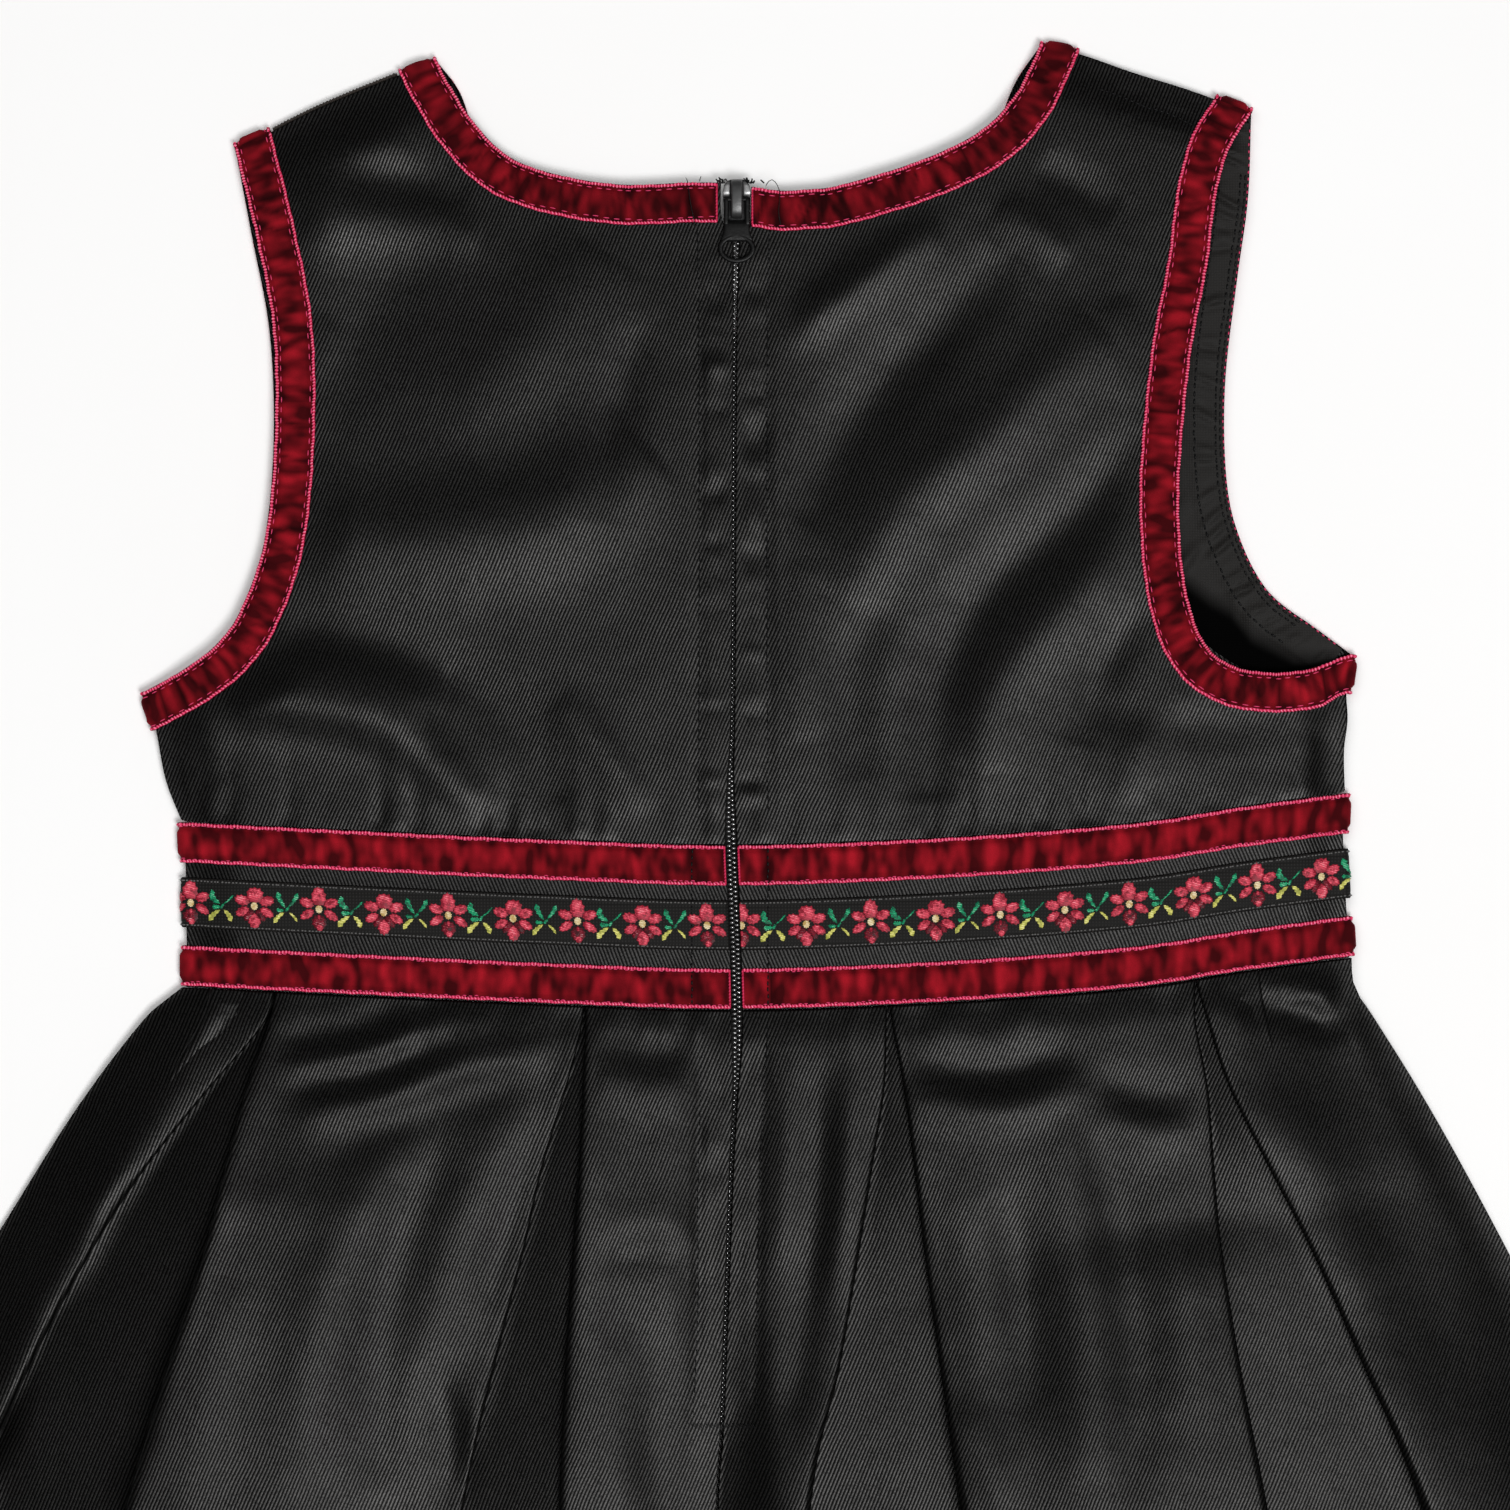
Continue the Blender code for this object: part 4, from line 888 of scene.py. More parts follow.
skirt_left = reader(SKIRT_SIDES, 1)
skirt_right = reader(SKIRT_SIDES, 2)
SECTION_SPAN = 36  # points of the top layer between two pleats
SECTION_ARC = 8  # points of each arc of a fold
SKIRT_LINES = 120  # rows down the skirt
FRONT_LINES, FRONT_COLUMNS = 70, 90
SKIRT_TOP_HALF = 140.0  # half the skirt's width at the waist
LAYERS_END = 110.0  # below the waistband, where the pleats no longer lie in layers
UNDERLAY_SPAN = (0.06, 0.2, 0.4, 0.6, 0.8, 0.94)
# Tilt of each pleat's underlay, by side and inner or outer: up to the right of it, as a
# share of the whole, at the top and further down.
UNDERLAY_TILTS = {(-1, 0): (0.9, 0.7), (-1, 1): (1.0, 1.0),
                  (1, 0): (0.8, 0.15), (1, 1): (1.0, -0.35)}
TILT_SLOPE, TILT_MOST = 0.19, 4.2  # the whole tilt over the width, and its limit
OPENS = (0.55, 1.6)  # a fold opens from here, over this: half the pleat over its depth


def underlay_rises(sign, which, gap, v):
    """How far the underlay rises at its edge nearer the zip and at the further one."""
    top, below = UNDERLAY_TILTS[sign, which]
    share = top + (below - top) * float(fade(v, 0.08, 0.12))
    tilt = sign * share * min(TILT_SLOPE * gap, TILT_MOST)
    return max(-tilt, 0.0), max(tilt, 0.0)


def skirt_row_y(v, x):
    """Height of the skirt's row v at x: rows turn from the waist seam into the hem's curve."""
    half = SKIRT_TOP_HALF + (HEM_HALF - SKIRT_TOP_HALF) * v
    n = np.clip(x / half, -1.15, 1.15)
    waist = waist_y(n * SKIRT_TOP_HALF) - BAND_DEPTH - SEAM / 2
    return (1 - v) * waist + v * (HEM_Y + HEM_LIFT * n ** 2)


def crossing(curve, v):
    """Where the curve x = curve(y) meets the skirt's row v."""
    x = float(curve(skirt_row_y(v, 0.0)))
    for _ in range(8):
        x = float(curve(skirt_row_y(v, x)))
    return x


def front_rise(v):
    """The front skirt lies on the surface, and rises to meet the waistband."""
    return FRONT * ramp(1 - v / 0.16)


def half_fold(edge, angle, radius, run, top):
    """Section of one fold, from the top layer to the underlay: an arc that turns down by
    angle, a straight run, and an arc that turns back. Distances grow towards the pleat."""
    turn = np.linspace(0.0, angle, SECTION_ARC)
    start = edge - radius * math.sin(min(angle, math.pi / 2))
    out_a = start + radius * np.sin(turn)
    down_a = top - radius * (1 - np.cos(turn))
    out_b = out_a[-1] + run * math.cos(angle) + radius * (math.sin(angle) - np.sin(angle - turn))
    down_b = (down_a[-1] - run * math.sin(angle)
              - radius * (np.cos(angle - turn) - math.cos(angle)))
    return points_at(np.concatenate([out_a, out_b]), np.concatenate([down_a, down_b]))


def fold_shape(gap, v):
    """Angle, radius and run of a fold, from the pleat's open width and how far down it is:
    folded flat while cloth is left under it, then an ever gentler slope."""
    opened = fade(gap / 2 / PLEAT_DEPTH, *OPENS)
    angle = math.pi * (1 - 0.86 * opened)
    radius = LAYER_PITCH / 2 + 0.4 * ramp(v / 0.15) + 2.4 * opened
    run = max(PLEAT_DEPTH - gap / 2 - radius, 0.8 + 3.5 * opened)
    return angle, radius, run


PLEAT_READERS = [reader(PLEATS, column) for column in range(1, 9)]
# The folds of a back half from the zip outwards, by its sign: columns of PLEATS less one.
FOLDS_OUTWARD = {1: (4, 5, 6, 7), -1: (3, 2, 1, 0)}


def skirt_section(v, sign):
    """Outer face of one back half at row v, from the zip out to the side, and how much of
    the top layer's creases each point takes."""
    folds_at = [sign * crossing(PLEAT_READERS[column], v) for column in FOLDS_OUTWARD[sign]]
    side = sign * crossing(skirt_right if sign > 0 else skirt_left, v)
    centre_y = skirt_row_y(v, 0.0)
    start = sign * zip_x(centre_y) + zip_gap(centre_y)
    level = BACK + AIR + SOLID_WALL - 1.6 * fade(v, 0.4, 0.6)
    ground = FRONT + SOLID_WALL + 0.1 + float(front_rise(v))
    points, share = [(start, level)], [1.0]
    here = (start, level)
    folded = [1.0] * (2 * SECTION_ARC)
    for which, (first, second) in enumerate((folds_at[:2], folds_at[2:])):
        angle, radius, run = fold_shape(second - first, v)
        drop = 2 * radius * (1 - math.cos(angle)) + run * math.sin(angle)
        low = ground + 0.4 * v
        near_rise, far_rise = underlay_rises(sign, which, second - first, v)
        near = half_fold(first, angle, radius, run, low + near_rise + drop)
        far = half_fold(-second, angle, radius, run, low + far_rise + drop)[::-1] * (-1, 1)
        points += spanned(here, near[0], v) + near.tolist()
        share += [1.0] * (SECTION_SPAN - 1) + folded
        between = max(near[-1, 0], first), min(far[0, 0], second)
        points += [(between[0] + (between[1] - between[0]) * t,
                    low + near_rise * (1 - t) + far_rise * t) for t in UNDERLAY_SPAN]
        share += [0.0] * len(UNDERLAY_SPAN)
        points += far.tolist()
        share += folded
        here = far[-1]
    points += spanned(here, (side, ground), v) + [(side, ground)]
    t = np.arange(1, SECTION_SPAN) / SECTION_SPAN
    share += ramp((1 - t) / 0.25).tolist() + [0.0]
    q, z = np.array(points, float).T
    x = sign * q
    return points_at(x, skirt_row_y(v, x), z), np.array(share)


def spanned(a, b, v):
    """Points of the top layer between two folds: level by level, with a soft wave."""
    t = np.arange(1, SECTION_SPAN) / SECTION_SPAN
    q = a[0] + (b[0] - a[0]) * t
    wave = SKIRT_WAVE * abs(b[0] - a[0]) * ramp(v / 0.5)
    z = a[1] + (b[1] - a[1]) * ramp(t) + wave * np.sin(t * math.pi) ** 2
    return points_at(q, z).tolist()


SKIRT_PUCKERS = scattered(7.0, 3.0, (4, 14), (-0.7, 0.6), (1.2, 3.0))
ZIP_END_CALM_Y = -48.0  # below the zip's end the creases cross the middle
SKIRT_FROM_ZIP, SKIRT_FROM_WAIST, FROM_ZIP_END = (6, 10, 0.15), (-1, 9), (0, 40)
CREASE_LIFT, CREASE_LOWEST = 0.9, -0.1  # they stay clear of the layers under them


def skirt_creases(x, y):
    """Creases of the skirt's top layers and the small gathers under the waistband, calm
    beside the zip and fading in over the first millimetres below the seam."""
    below = waist_y(x) - BAND_DEPTH - y
    started_in = fade(below, *SKIRT_FROM_WAIST)
    calm = fade(np.abs(x - zip_x(y)), *SKIRT_FROM_ZIP) * started_in
    under_zip = fade(ZIP_END_CALM_Y - y, *FROM_ZIP_END) * started_in
    calm = np.where(y < ZIP_END_CALM_Y, np.maximum(calm, under_zip), calm)
    small = gathers(*SKIRT_PUCKERS, x, np.maximum(below, 0)) * fade(below, 0.5, 3)
    high = crease_field(SKIRT_CREASES, x, y) * calm + small + placket(x, y)
    high += crease_field(SKIRT_GROOVES, x, y)
    layered = ramp(1 - below / LAYERS_END)
    high += CREASE_LIFT * layered * ramp(below / 8)
    return np.maximum(high, CREASE_LOWEST - 3 * (1 - layered))


def build_skirt():
    """The two pleated back halves, and the plain front under them."""
    for name, sign in (("left", -1), ("right", 1)):
        sections = [skirt_section(v, sign) for v in np.linspace(0, 1, SKIRT_LINES)]
        grid = np.stack([section for section, _ in sections])
        share = np.stack([taken for _, taken in sections])
        grid[..., 2] += share * skirt_creases(grid[..., 0], grid[..., 1])
        cloth("satin_skirt_back_" + name, grid, SATIN_SKIRT, ["skirt_back_" + name])
    lines = []
    for v in np.linspace(0, 1, FRONT_LINES):
        x = np.linspace(crossing(skirt_left, v), crossing(skirt_right, v), FRONT_COLUMNS)
        lines.append(points_at(x, skirt_row_y(v, x), front_rise(v)))
    cloth("satin_skirt_front", np.stack(lines), SATIN_FRONT, ["skirt_front"], up=-1)


# ------------ strips and threads

STEP = 0.9  # from one cross line of a ribbon to the next
UNDER_STEP = 1.8  # the same on the front, which lies face down
RIBBON_LIFT = 0.05  # a ribbon's own face above the panel that it is sewn to
SEAM_TURN = 14.0  # distance over which a ribbon's cross lines turn onto a seam
ROUND_EDGE = 0.9  # how far a ribbon's base stands out where it turns an edge
VELVET_ACROSS = np.array([0, 0.35, 0.8, 1.3, 1.7, 2.2, 2.9, 4.2, 5.5, 6.7, 7.5, 8.1, 8.5, 8.9,
                          9.3, 9.65, 10])
FLOWER_ACROSS = np.array([0, 0.25, 0.5, 1.0, 1.35, 1.7, 2.3, 4.3, 6.25, 8.2, 10.2, 10.8, 11.15,
                          11.5, 12.0, 12.25, 12.5])
TURN_ANGLES = np.radians(np.arange(20, 161, 20))
# Lines of a waist ribbon from the zip to the left side, on the front, and back to the zip.
WAIST_COUNTS = (150, 163, 168)
UPWARDS = np.array([0.0, 0.0, 1.0])


def counted(curve_table, step=STEP):
    """Spline of a table with a point for each step of a ribbon."""
    rough = spline(curve_table, 60)
    return spline(curve_table, int(run_along(rough)[-1] / step))


def crossed(edge, sign, across, first, last):
    """Cross lines from an edge curve inwards. Near an end that meets a seam, each line
    turns from the edge's normal to the seam's own curve, by the share of the way."""
    inward = inward_of(edge, sign)
    lines = edge[:, None] + inward[:, None] * across[None, :, None]
    run = run_along(edge)
    for away, seam in ((run, first), (run[-1] - run, last)):
        along = points_at(*(np.interp(across, run_along(seam), axis) for axis in seam.T))
        share = ramp(1 - away / SEAM_TURN)[:, None, None]
        lines = lines * (1 - share) + share * (edge[:, None] + (along - seam[0])[None])
    return lines


def under_front(lines):
    """Cross lines laid under the front panel, facing down."""
    return with_height(lines, FRONT - RIBBON_LIFT)


def turned(start, end, outward):
    """Cross lines that carry a ribbon round an edge: a half ellipse from the line start to
    the line end, bulging outwards."""
    lines = []
    for angle in TURN_ANGLES:
        middle = (start + end) / 2
        line = middle + (start - end) / 2 * math.cos(angle)
        line[:, :2] += outward * ROUND_EDGE * math.sin(angle)
        lines.append(line)
    return np.stack(lines)


class Strip:
    """A ribbon's base surface: cross lines, their distance along the ribbon, the places
    across it and unit normals, with the first line's facing up. A closed strip ends on a
    copy of its first line."""

    def __init__(self, base, across, closed=False):
        """Works out the distances, and the normals: the cross product of the ribbon's
        direction and a line's."""
        if closed:
            base = np.concatenate([base, base[:1]])
        middle = base[:, len(across) // 2]
        self.base, self.across, self.closed = base, across, closed
        self.run = run_along(middle)
        along = np.gradient(base, axis=0)
        if closed:
            along[0] = along[-1] = (base[1] - base[-2]) / 2
        normal = unit(np.cross(along, np.gradient(base, axis=1)))
        self.normal = normal * np.sign(normal[0, :, 2].mean())

    def raised(self, height):
        """Base plus the normal times a height for each point."""
        return self.base + self.normal * height[..., None]

    def at(self, s, w, height, field=None):
        """Points at distance s along and w across, height above the base or above another
        height field: the four nearest points, weighted."""
        i = np.clip(np.interp(s, self.run, np.arange(len(self.run))), 0, len(self.run) - 1.001)
        j = np.clip(np.interp(w, self.across, np.arange(len(self.across))), 0,
                    len(self.across) - 1.001)
        i0, j0 = i.astype(int), j.astype(int)
        fi, fj = i - i0, j - j0

        def read(array):
            """The array's value at those places."""
            extra = (1,) * (array.ndim - 2)
            a, b = fi.reshape(fi.shape + extra), fj.reshape(fj.shape + extra)
            return ((1 - a) * (1 - b) * array[i0, j0] + (1 - a) * b * array[i0, j0 + 1]
                    + a * (1 - b) * array[i0 + 1, j0] + a * b * array[i0 + 1, j0 + 1])

        if field is not None:
            height = height + read(field)
        return read(self.base) + read(self.normal) * height[..., None], read(self.normal)


def tubes(centre, normal, radius, sides):
    """Round threads: for each of n runs, rings of points about the centre line. A ring's
    point is the centre plus radius times (cosine of the side plus sine of the normal).
    centre and normal are n x rings x 3, radius is n x rings. Gives points and faces, with
    the ends closed by rings of no size."""
    along = unit(np.gradient(centre, axis=1))
    side = unit(np.cross(along, normal))
    up = np.cross(side, along)
    angle = np.arange(sides) / sides * 2 * math.pi
    points = (centre[:, :, None] + radius[:, :, None, None]
              * (side[:, :, None] * np.cos(angle)[None, None, :, None]
                 + up[:, :, None] * np.sin(angle)[None, None, :, None]))
    runs, rings = centre.shape[:2]
    quads = quads_of(rings, sides, round_too=True)[:, ::-1]
    return points.reshape(-1, 3), copied(quads, runs, rings * sides)


def together(parts):
    """Several (points, faces) as one."""
    points, faces, start = [], [], 0
    for some_points, some_faces in parts:
        points.append(some_points)
        faces.append(some_faces + start)
        start += len(some_points)
    return np.vstack(points), np.vstack(faces)


def threads(name, parts, finish, values=None):
    """One piece made of many small threads."""
    points, faces = together(parts)
    return add_piece(name, mesh_from(name, points, faces, values=values), finish)


SELVAGE_PITCH = 0.8  # from one loop of a selvage to the next
SELVAGE_INSET = 0.42  # from a velvet ribbon's edge to its selvage's middle
SELVAGE_RINGS = 4  # rings of a selvage for each of its loops
POINTED = 0.02  # radius of a cord's last ring
CORD_SIDES = 5  # sides of a cord's or a thread's section
END_RINGS = 40  # rings of the cord across a ribbon's folded end
CORD_ANGLES = np.arange(CORD_SIDES) / CORD_SIDES * 2 * math.pi
ALONG_STITCH = np.array([0.0, 0.14, 0.5, 0.86, 1.0])
STITCH_SIZES = np.array([0.05, 0.8, 1.0, 0.8, 0.05])
STITCH_RISE = np.sin(ALONG_STITCH * math.pi) ** 0.6
# How a selvage's loops and its line stray: height, rate and shift of each sine.
LOOPS_STRAY = [(0.8, 0.37, 0), (0.6, 1.31, 0)]
LINE_STRAYS = [(0.07, 0.61, 0), (0.05, 1.73, 1)]
SELVAGE_Z = 0.36


def selvage(strip, w, lean):
    """Looped edge of a velvet ribbon: a cord along the strip at w whose radius swells by a
    sine, once for each loop. Each point's share of light thread is a cosine of its place
    along the cord and, by lean, of its angle about it. Where the ribbon faces down, every
    other ring is left out. Gives the cord and those shares."""
    s = np.arange(0.0, strip.run[-1], SELVAGE_PITCH / SELVAGE_RINGS)
    facing = np.interp(s, strip.run, strip.normal[:, 0, 2])
    s = s[(facing > 0) | (np.arange(len(s)) % 2 == 0)]
    turn = 2 * math.pi * s / SELVAGE_PITCH + waves(s, LOOPS_STRAY)
    centre, normal = strip.at(s, w + waves(s, LINE_STRAYS), np.full(len(s), SELVAGE_Z))
    size = 0.41 + 0.1 * np.cos(turn)
    size[0] = size[-1] = POINTED
    light = 0.5 + 0.5 * np.cos(turn[:, None] + lean * CORD_ANGLES)
    return tubes(centre[None], normal[None], size[None], CORD_SIDES), light.ravel()


def end_cord(strip, s, w0, w1):
    """Folded end of a velvet ribbon: a thin cord across it, with the selvages' shares."""
    w = np.linspace(w0, w1, END_RINGS)
    centre, normal = strip.at(np.full(END_RINGS, s), w, velvet_profile(w)[0] + 0.05)
    turn = 2 * math.pi * w / SELVAGE_PITCH
    size = 0.28 + 0.06 * np.cos(turn)
    light = 0.2 + 0.25 * np.cos(turn[:, None] + CORD_ANGLES)
    return tubes(centre[None], normal[None], size[None], CORD_SIDES), light.ravel()


def stitch_row(strip, w, field, pitch=2.6, length=1.5, radius=0.16, start=0.8, rise=0.16,
               wander=0.08, seed=1):
    """Row of machine stitches along a strip: each a thread that rises by a power of half a
    sine between the needle holes."""
    random = np.random.default_rng(seed)
    first = np.arange(start, strip.run[-1] - length, pitch)
    s = first[:, None] + random.normal(0, 0.12, len(first))[:, None] + ALONG_STITCH * length
    across = w + random.normal(0, wander, len(first))[:, None] + 0 * s
    high = rise * STITCH_RISE - 0.04 + 0 * s
    centre, normal = strip.at(s, across, high, field)
    size = radius * STITCH_SIZES + 0 * s
    return tubes(centre, normal, size, CORD_SIDES)


# ------------ velvet

def velvet(name):
    """Crimson velvet: dark pile that turns redder in soft patches and bands across the
    ribbon, with a strong sheen at grazing angles. The attribute pile paints it lighter along
    its ridges and darker in its creases and towards its edges: painted light and shade."""
    made, tree, shader = started(name, Roughness=0.85, Sheen_Weight=0.22, Sheen_Roughness=0.4,
                                 Sheen_Tint=(0.9, 0.03, 0.1, 1), Specular_IOR_Level=0.06)
    stretched = node(tree, "ShaderNodeMapping", {"Vector": place(tree, "UV"),
                                                 "Scale": (0.5, 1, 1)}).outputs[0]
    patches = spread(tree, noise(tree, stretched, 0.25, 1), 0.38, 0.74)
    fibre = noise(tree, place(tree), 4200, 1)
    colour = mixed(tree, patches, (0.05, 0.002, 0.0035, 1), (0.4, 0.009, 0.019, 1))
    # Painted light and shade: the attribute pile darkens the creases and the edges.
    colour = mixed(tree, attribute(tree, "pile"), (0.006, 0.0007, 0.001, 1), colour)
    colour = mixed(tree, number(tree, "MULTIPLY", fibre, 0.35), colour, (0.02, 0.001, 0.0015, 1))
    painted(tree, shader, colour, lifted(tree, fibre, 0.00012))
    return made


def thread_finish(name, colour, dark):
    """Twisted thread: grains of light and dark colour, with a soft gloss."""
    made, tree, shader = started(name, Roughness=0.5, Specular_IOR_Level=0.25)
    grain = noise(tree, place(tree), 1900)
    painted(tree, shader, mixed(tree, grain, (*dark, 1), (*colour, 1)),
            lifted(tree, grain, 0.00008))
    return made


def looped_finish(name):
    """Looped selvage: pale pink where a loop lies uppermost, crimson between the loops, and
    near-white pink at the palest spots: a painted highlight.
    """
    made, tree, shader = started(name, Roughness=0.55, Specular_IOR_Level=0.2)
    grain = noise(tree, place(tree), 1900)
    patch = number(tree, "MULTIPLY", attribute(tree, "twist"), scaled(tree, grain, 1.1, 0.35))
    loops = mixed(tree, patch, (0.4, 0.006, 0.035, 1), (1.0, 0.08, 0.23, 1))
    # Painted highlight: near-white pink on the palest spots of the loops.
    painted_highlight = scaled(tree, patch, 3.0, -2.0)
    painted(tree, shader, mixed(tree, painted_highlight, loops, (1.0, 0.38, 0.5, 1)),
            lifted(tree, patch, 0.00012))
    return made


VELVET = velvet("crimson velvet")
SELVAGE = looped_finish("pink selvage loops")
PINK_STITCH = thread_finish("pink stitching", (0.85, 0.07, 0.2), (0.4, 0.015, 0.06))
BLACK_THREAD = thread_finish("black sewing thread", (0.006, 0.006, 0.0065), (0.001, 0.001, 0.001))


VELVET_GROUND, PILE_RISE = 0.42, 0.72
DIP_DEPTH, DIP_MIDDLE, DIP_WIDTH = 0.12, 1.3, 0.3  # where the stitches press
PILE_FROM_EDGE = (1.25, 1.3)


def velvet_profile(across):
    """Height of velvet over its base, and its pile's share: low selvages, a dip at each
    stitch row, and a pile that crowns between them."""
    inner = np.minimum(across, RIBBON_WIDTH - across)
    pile = fade(inner, *PILE_FROM_EDGE)
    dip = DIP_DEPTH * bell(inner - DIP_MIDDLE, DIP_WIDTH)
    return VELVET_GROUND - dip + PILE_RISE * pile, pile


PINCH_WIDTH = 0.95  # of the furrow where a ribbon is stitched across


def crumple(strip, spacing, slant, width, pinches, seed):
    """Creases across a ribbon: bell-shaped furrows at uneven spacing, each slanting its own
    way, up to 1 deep; and apart from them, straight narrow ones where it is stitched
    across."""
    random = np.random.default_rng(seed)
    at, centres = 0.0, []
    while at < strip.run[-1]:
        centres.append(at)
        at += random.uniform(*spacing)
    s = strip.run[:, None]
    w = strip.across[None] - strip.across[-1] / 2
    depth = np.zeros((len(strip.run), len(strip.across)))
    for centre in centres:
        lean = random.uniform(-slant, slant)
        deep = random.uniform(0.35, 1.0)
        wide = width * random.uniform(0.5, 1.6)
        bow = random.uniform(-0.05, 0.05)
        depth = np.maximum(depth, deep * bell(s - centre - lean * w - bow * w ** 2, wide))
    pinched = np.zeros(depth.shape)
    for pinch in pinches:
        pinched += bell(s - pinch % strip.run[-1], PINCH_WIDTH)
    return depth, pinched


def velvet_ribbon(name, strip, node_name, creases, seed, pinches, rows_at=(1.45, 1.35),
                  pitch=2.6, length=1.5):
    """A velvet ribbon on its strip, with its two selvages and two rows of stitches."""
    height, pile = velvet_profile(strip.across)
    amount, spacing, slant, width, crease_shade, light = creases
    depth, pinched = crumple(strip, spacing, slant, width, pinches, seed)
    field = height[None] - np.maximum(amount * depth, 0.8 * pinched) * pile[None]
    rows = slice(0, -1) if strip.closed else slice(None)
    grid = strip.raised(field)
    uv = points_at(strip.across[None], strip.run[:, None])
    # Painted light and shade: the pile is darker in creases, stitched furrows and towards the
    # edges, and lighter or darker for each ribbon.
    edge = ramp(np.minimum(strip.across, RIBBON_WIDTH - strip.across)[None] / 2.6)
    lit = light * (1 - np.maximum(crease_shade * depth, 0.9 * pinched)) * (0.35 + 0.65 * edge)
    cords = [selvage(strip, SELVAGE_INSET, 0), selvage(strip, RIBBON_WIDTH - SELVAGE_INSET, 1)]
    if not strip.closed:
        cords += [end_cord(strip, s, 0.5, RIBBON_WIDTH - 0.5)
                  for s in (0.25, strip.run[-1] - 0.25)]
    edges = threads("selvages_of_" + name, [cord for cord, _ in cords], SELVAGE,
                    values={"twist": np.concatenate([light for _, light in cords])})
    sewn = threads("stitches_of_" + name,
                   [stitch_row(strip, rows_at[0], field, pitch, length, seed=seed),
                    stitch_row(strip, RIBBON_WIDTH - rows_at[1], field, pitch, length,
                               seed=seed + 1, wander=0.12)],
                   PINK_STITCH)
    cloth(name, grid[rows], VELVET, [node_name], closed=strip.closed, wall=0.4, uv=uv,
          values={"pile": lit[rows]})


def seam_normal(seam, outward):
    """Unit normal of a seam curve's first stretch, on the side of the vector outward."""
    along = seam[1] - seam[0]
    normal = unit(np.array([-along[1], along[0]]))
    return normal * np.sign(normal @ np.array(outward))


def centre_end(neck):
    """Line down from a neck edge's first point, along the zip."""
    x, y = neck[0]
    return np.array([(x, y), (x, y - 2 * RIBBON_WIDTH)])


# Creases of a ribbon: how deep, how far apart, how slanted, how wide, how much painted
# shade darkens the pile in them, and how light the pile is painted between them.
NECK_CREASES = (0.6, (2.2, 5.6), 0.6, 0.8, 0.9, 0.7)
ARM_CREASES = (0.55, (2.6, 6.4), 0.45, 0.8, 0.9, 0.9)
WAIST_CREASES = (0.22, (3.0, 7.5), 0.2, 1.2, 0.35, 1.0)


def build_neck_ribbon():
    """From the zip up the left neck edge, round the front and back to the zip."""
    left_seam, right_seam = spline(SHOULDER_LEFT, 200), spline(SHOULDER_RIGHT, 200)
    across = VELVET_ACROSS
    left = on_back(crossed(counted(NECK_LEFT), 1, across, centre_end(NECK_LEFT), left_seam),
                   RIBBON_LIFT)
    right = on_back(crossed(counted(NECK_RIGHT), -1, across, centre_end(NECK_RIGHT),
                            right_seam)[::-1], RIBBON_LIFT)
    front = under_front(crossed(counted(FRONT_NECK, UNDER_STEP), -1, across, left_seam, right_seam))
    base = np.concatenate([left, turned(left[-1], front[0], seam_normal(left_seam, (0, 1))),
                           front, turned(front[-1], right[0], seam_normal(right_seam, (0, 1))),
                           right])
    velvet_ribbon("velvet_neck_ribbon", Strip(base, across), "neck_ribbon", NECK_CREASES, 11,
                  (7.0, -6.7))


def build_armhole_ribbon(name, back_edge, front_edge, shoulder, side, sign, seed, join):
    """Closed loop: down the back's armhole, under the arm, up the front's, over the
    shoulder. Its ends join at a seam that far before the side."""
    shoulder, side = spline(shoulder[::-1], 200), spline(side, 200)
    across = VELVET_ACROSS
    back = on_back(crossed(counted(back_edge), sign, across, shoulder, side), RIBBON_LIFT)
    front = under_front(crossed(counted(front_edge, UNDER_STEP), sign, across, shoulder,
                                side)[::-1])
    base = np.concatenate([back, turned(back[-1], front[0], seam_normal(side, (-sign, 0))),
                           front, turned(front[-1], back[0], seam_normal(shoulder, (0, 1)))])
    velvet_ribbon("velvet_armhole_ribbon_" + name, Strip(base, across, closed=True),
                  "armhole_ribbon_" + name, ARM_CREASES, seed,
                  (run_along(back[:, len(across) // 2])[-1] - join,))


def waist_strip(top, across):
    """Strip round the waistband, from the zip's left edge round the front to its right."""
    stretches = ((zip_left, side_left), (side_left, side_right), (side_right, zip_right))
    left, front, right = (band_grid(*ends, top + across, count).transpose(1, 0, 2)
                          for ends, count in zip(stretches, WAIST_COUNTS))
    left, right = on_back(left, RIBBON_LIFT), on_back(right, RIBBON_LIFT)
    front = under_front(front)
    out = np.array([1.0, 0.0])
    return Strip(np.concatenate([left, turned(left[-1], front[0], -out), front,
                                 turned(front[-1], right[0], out), right]), across)


def build_ribbons():
    """The five velvet ribbons."""
    build_neck_ribbon()
    build_armhole_ribbon("left", ARMHOLE_LEFT, FRONT_ARMHOLE_LEFT, SHOULDER_LEFT, SIDE_LEFT,
                         1, 21, 9.0)
    build_armhole_ribbon("right", ARMHOLE_RIGHT, FRONT_ARMHOLE_RIGHT, SHOULDER_RIGHT,
                         SIDE_RIGHT, -1, 31, 6.5)
    for name, top, seed in (("upper", 0.1, 41), ("lower", 30.9, 51)):
        velvet_ribbon("velvet_waist_ribbon_" + name, waist_strip(top, VELVET_ACROSS),
                      "waist_ribbon_" + name, WAIST_CREASES, seed, (8.6, -7.4), (0.8, 0.85),
                      1.45, 1.0)


# ------------ flower ribbon

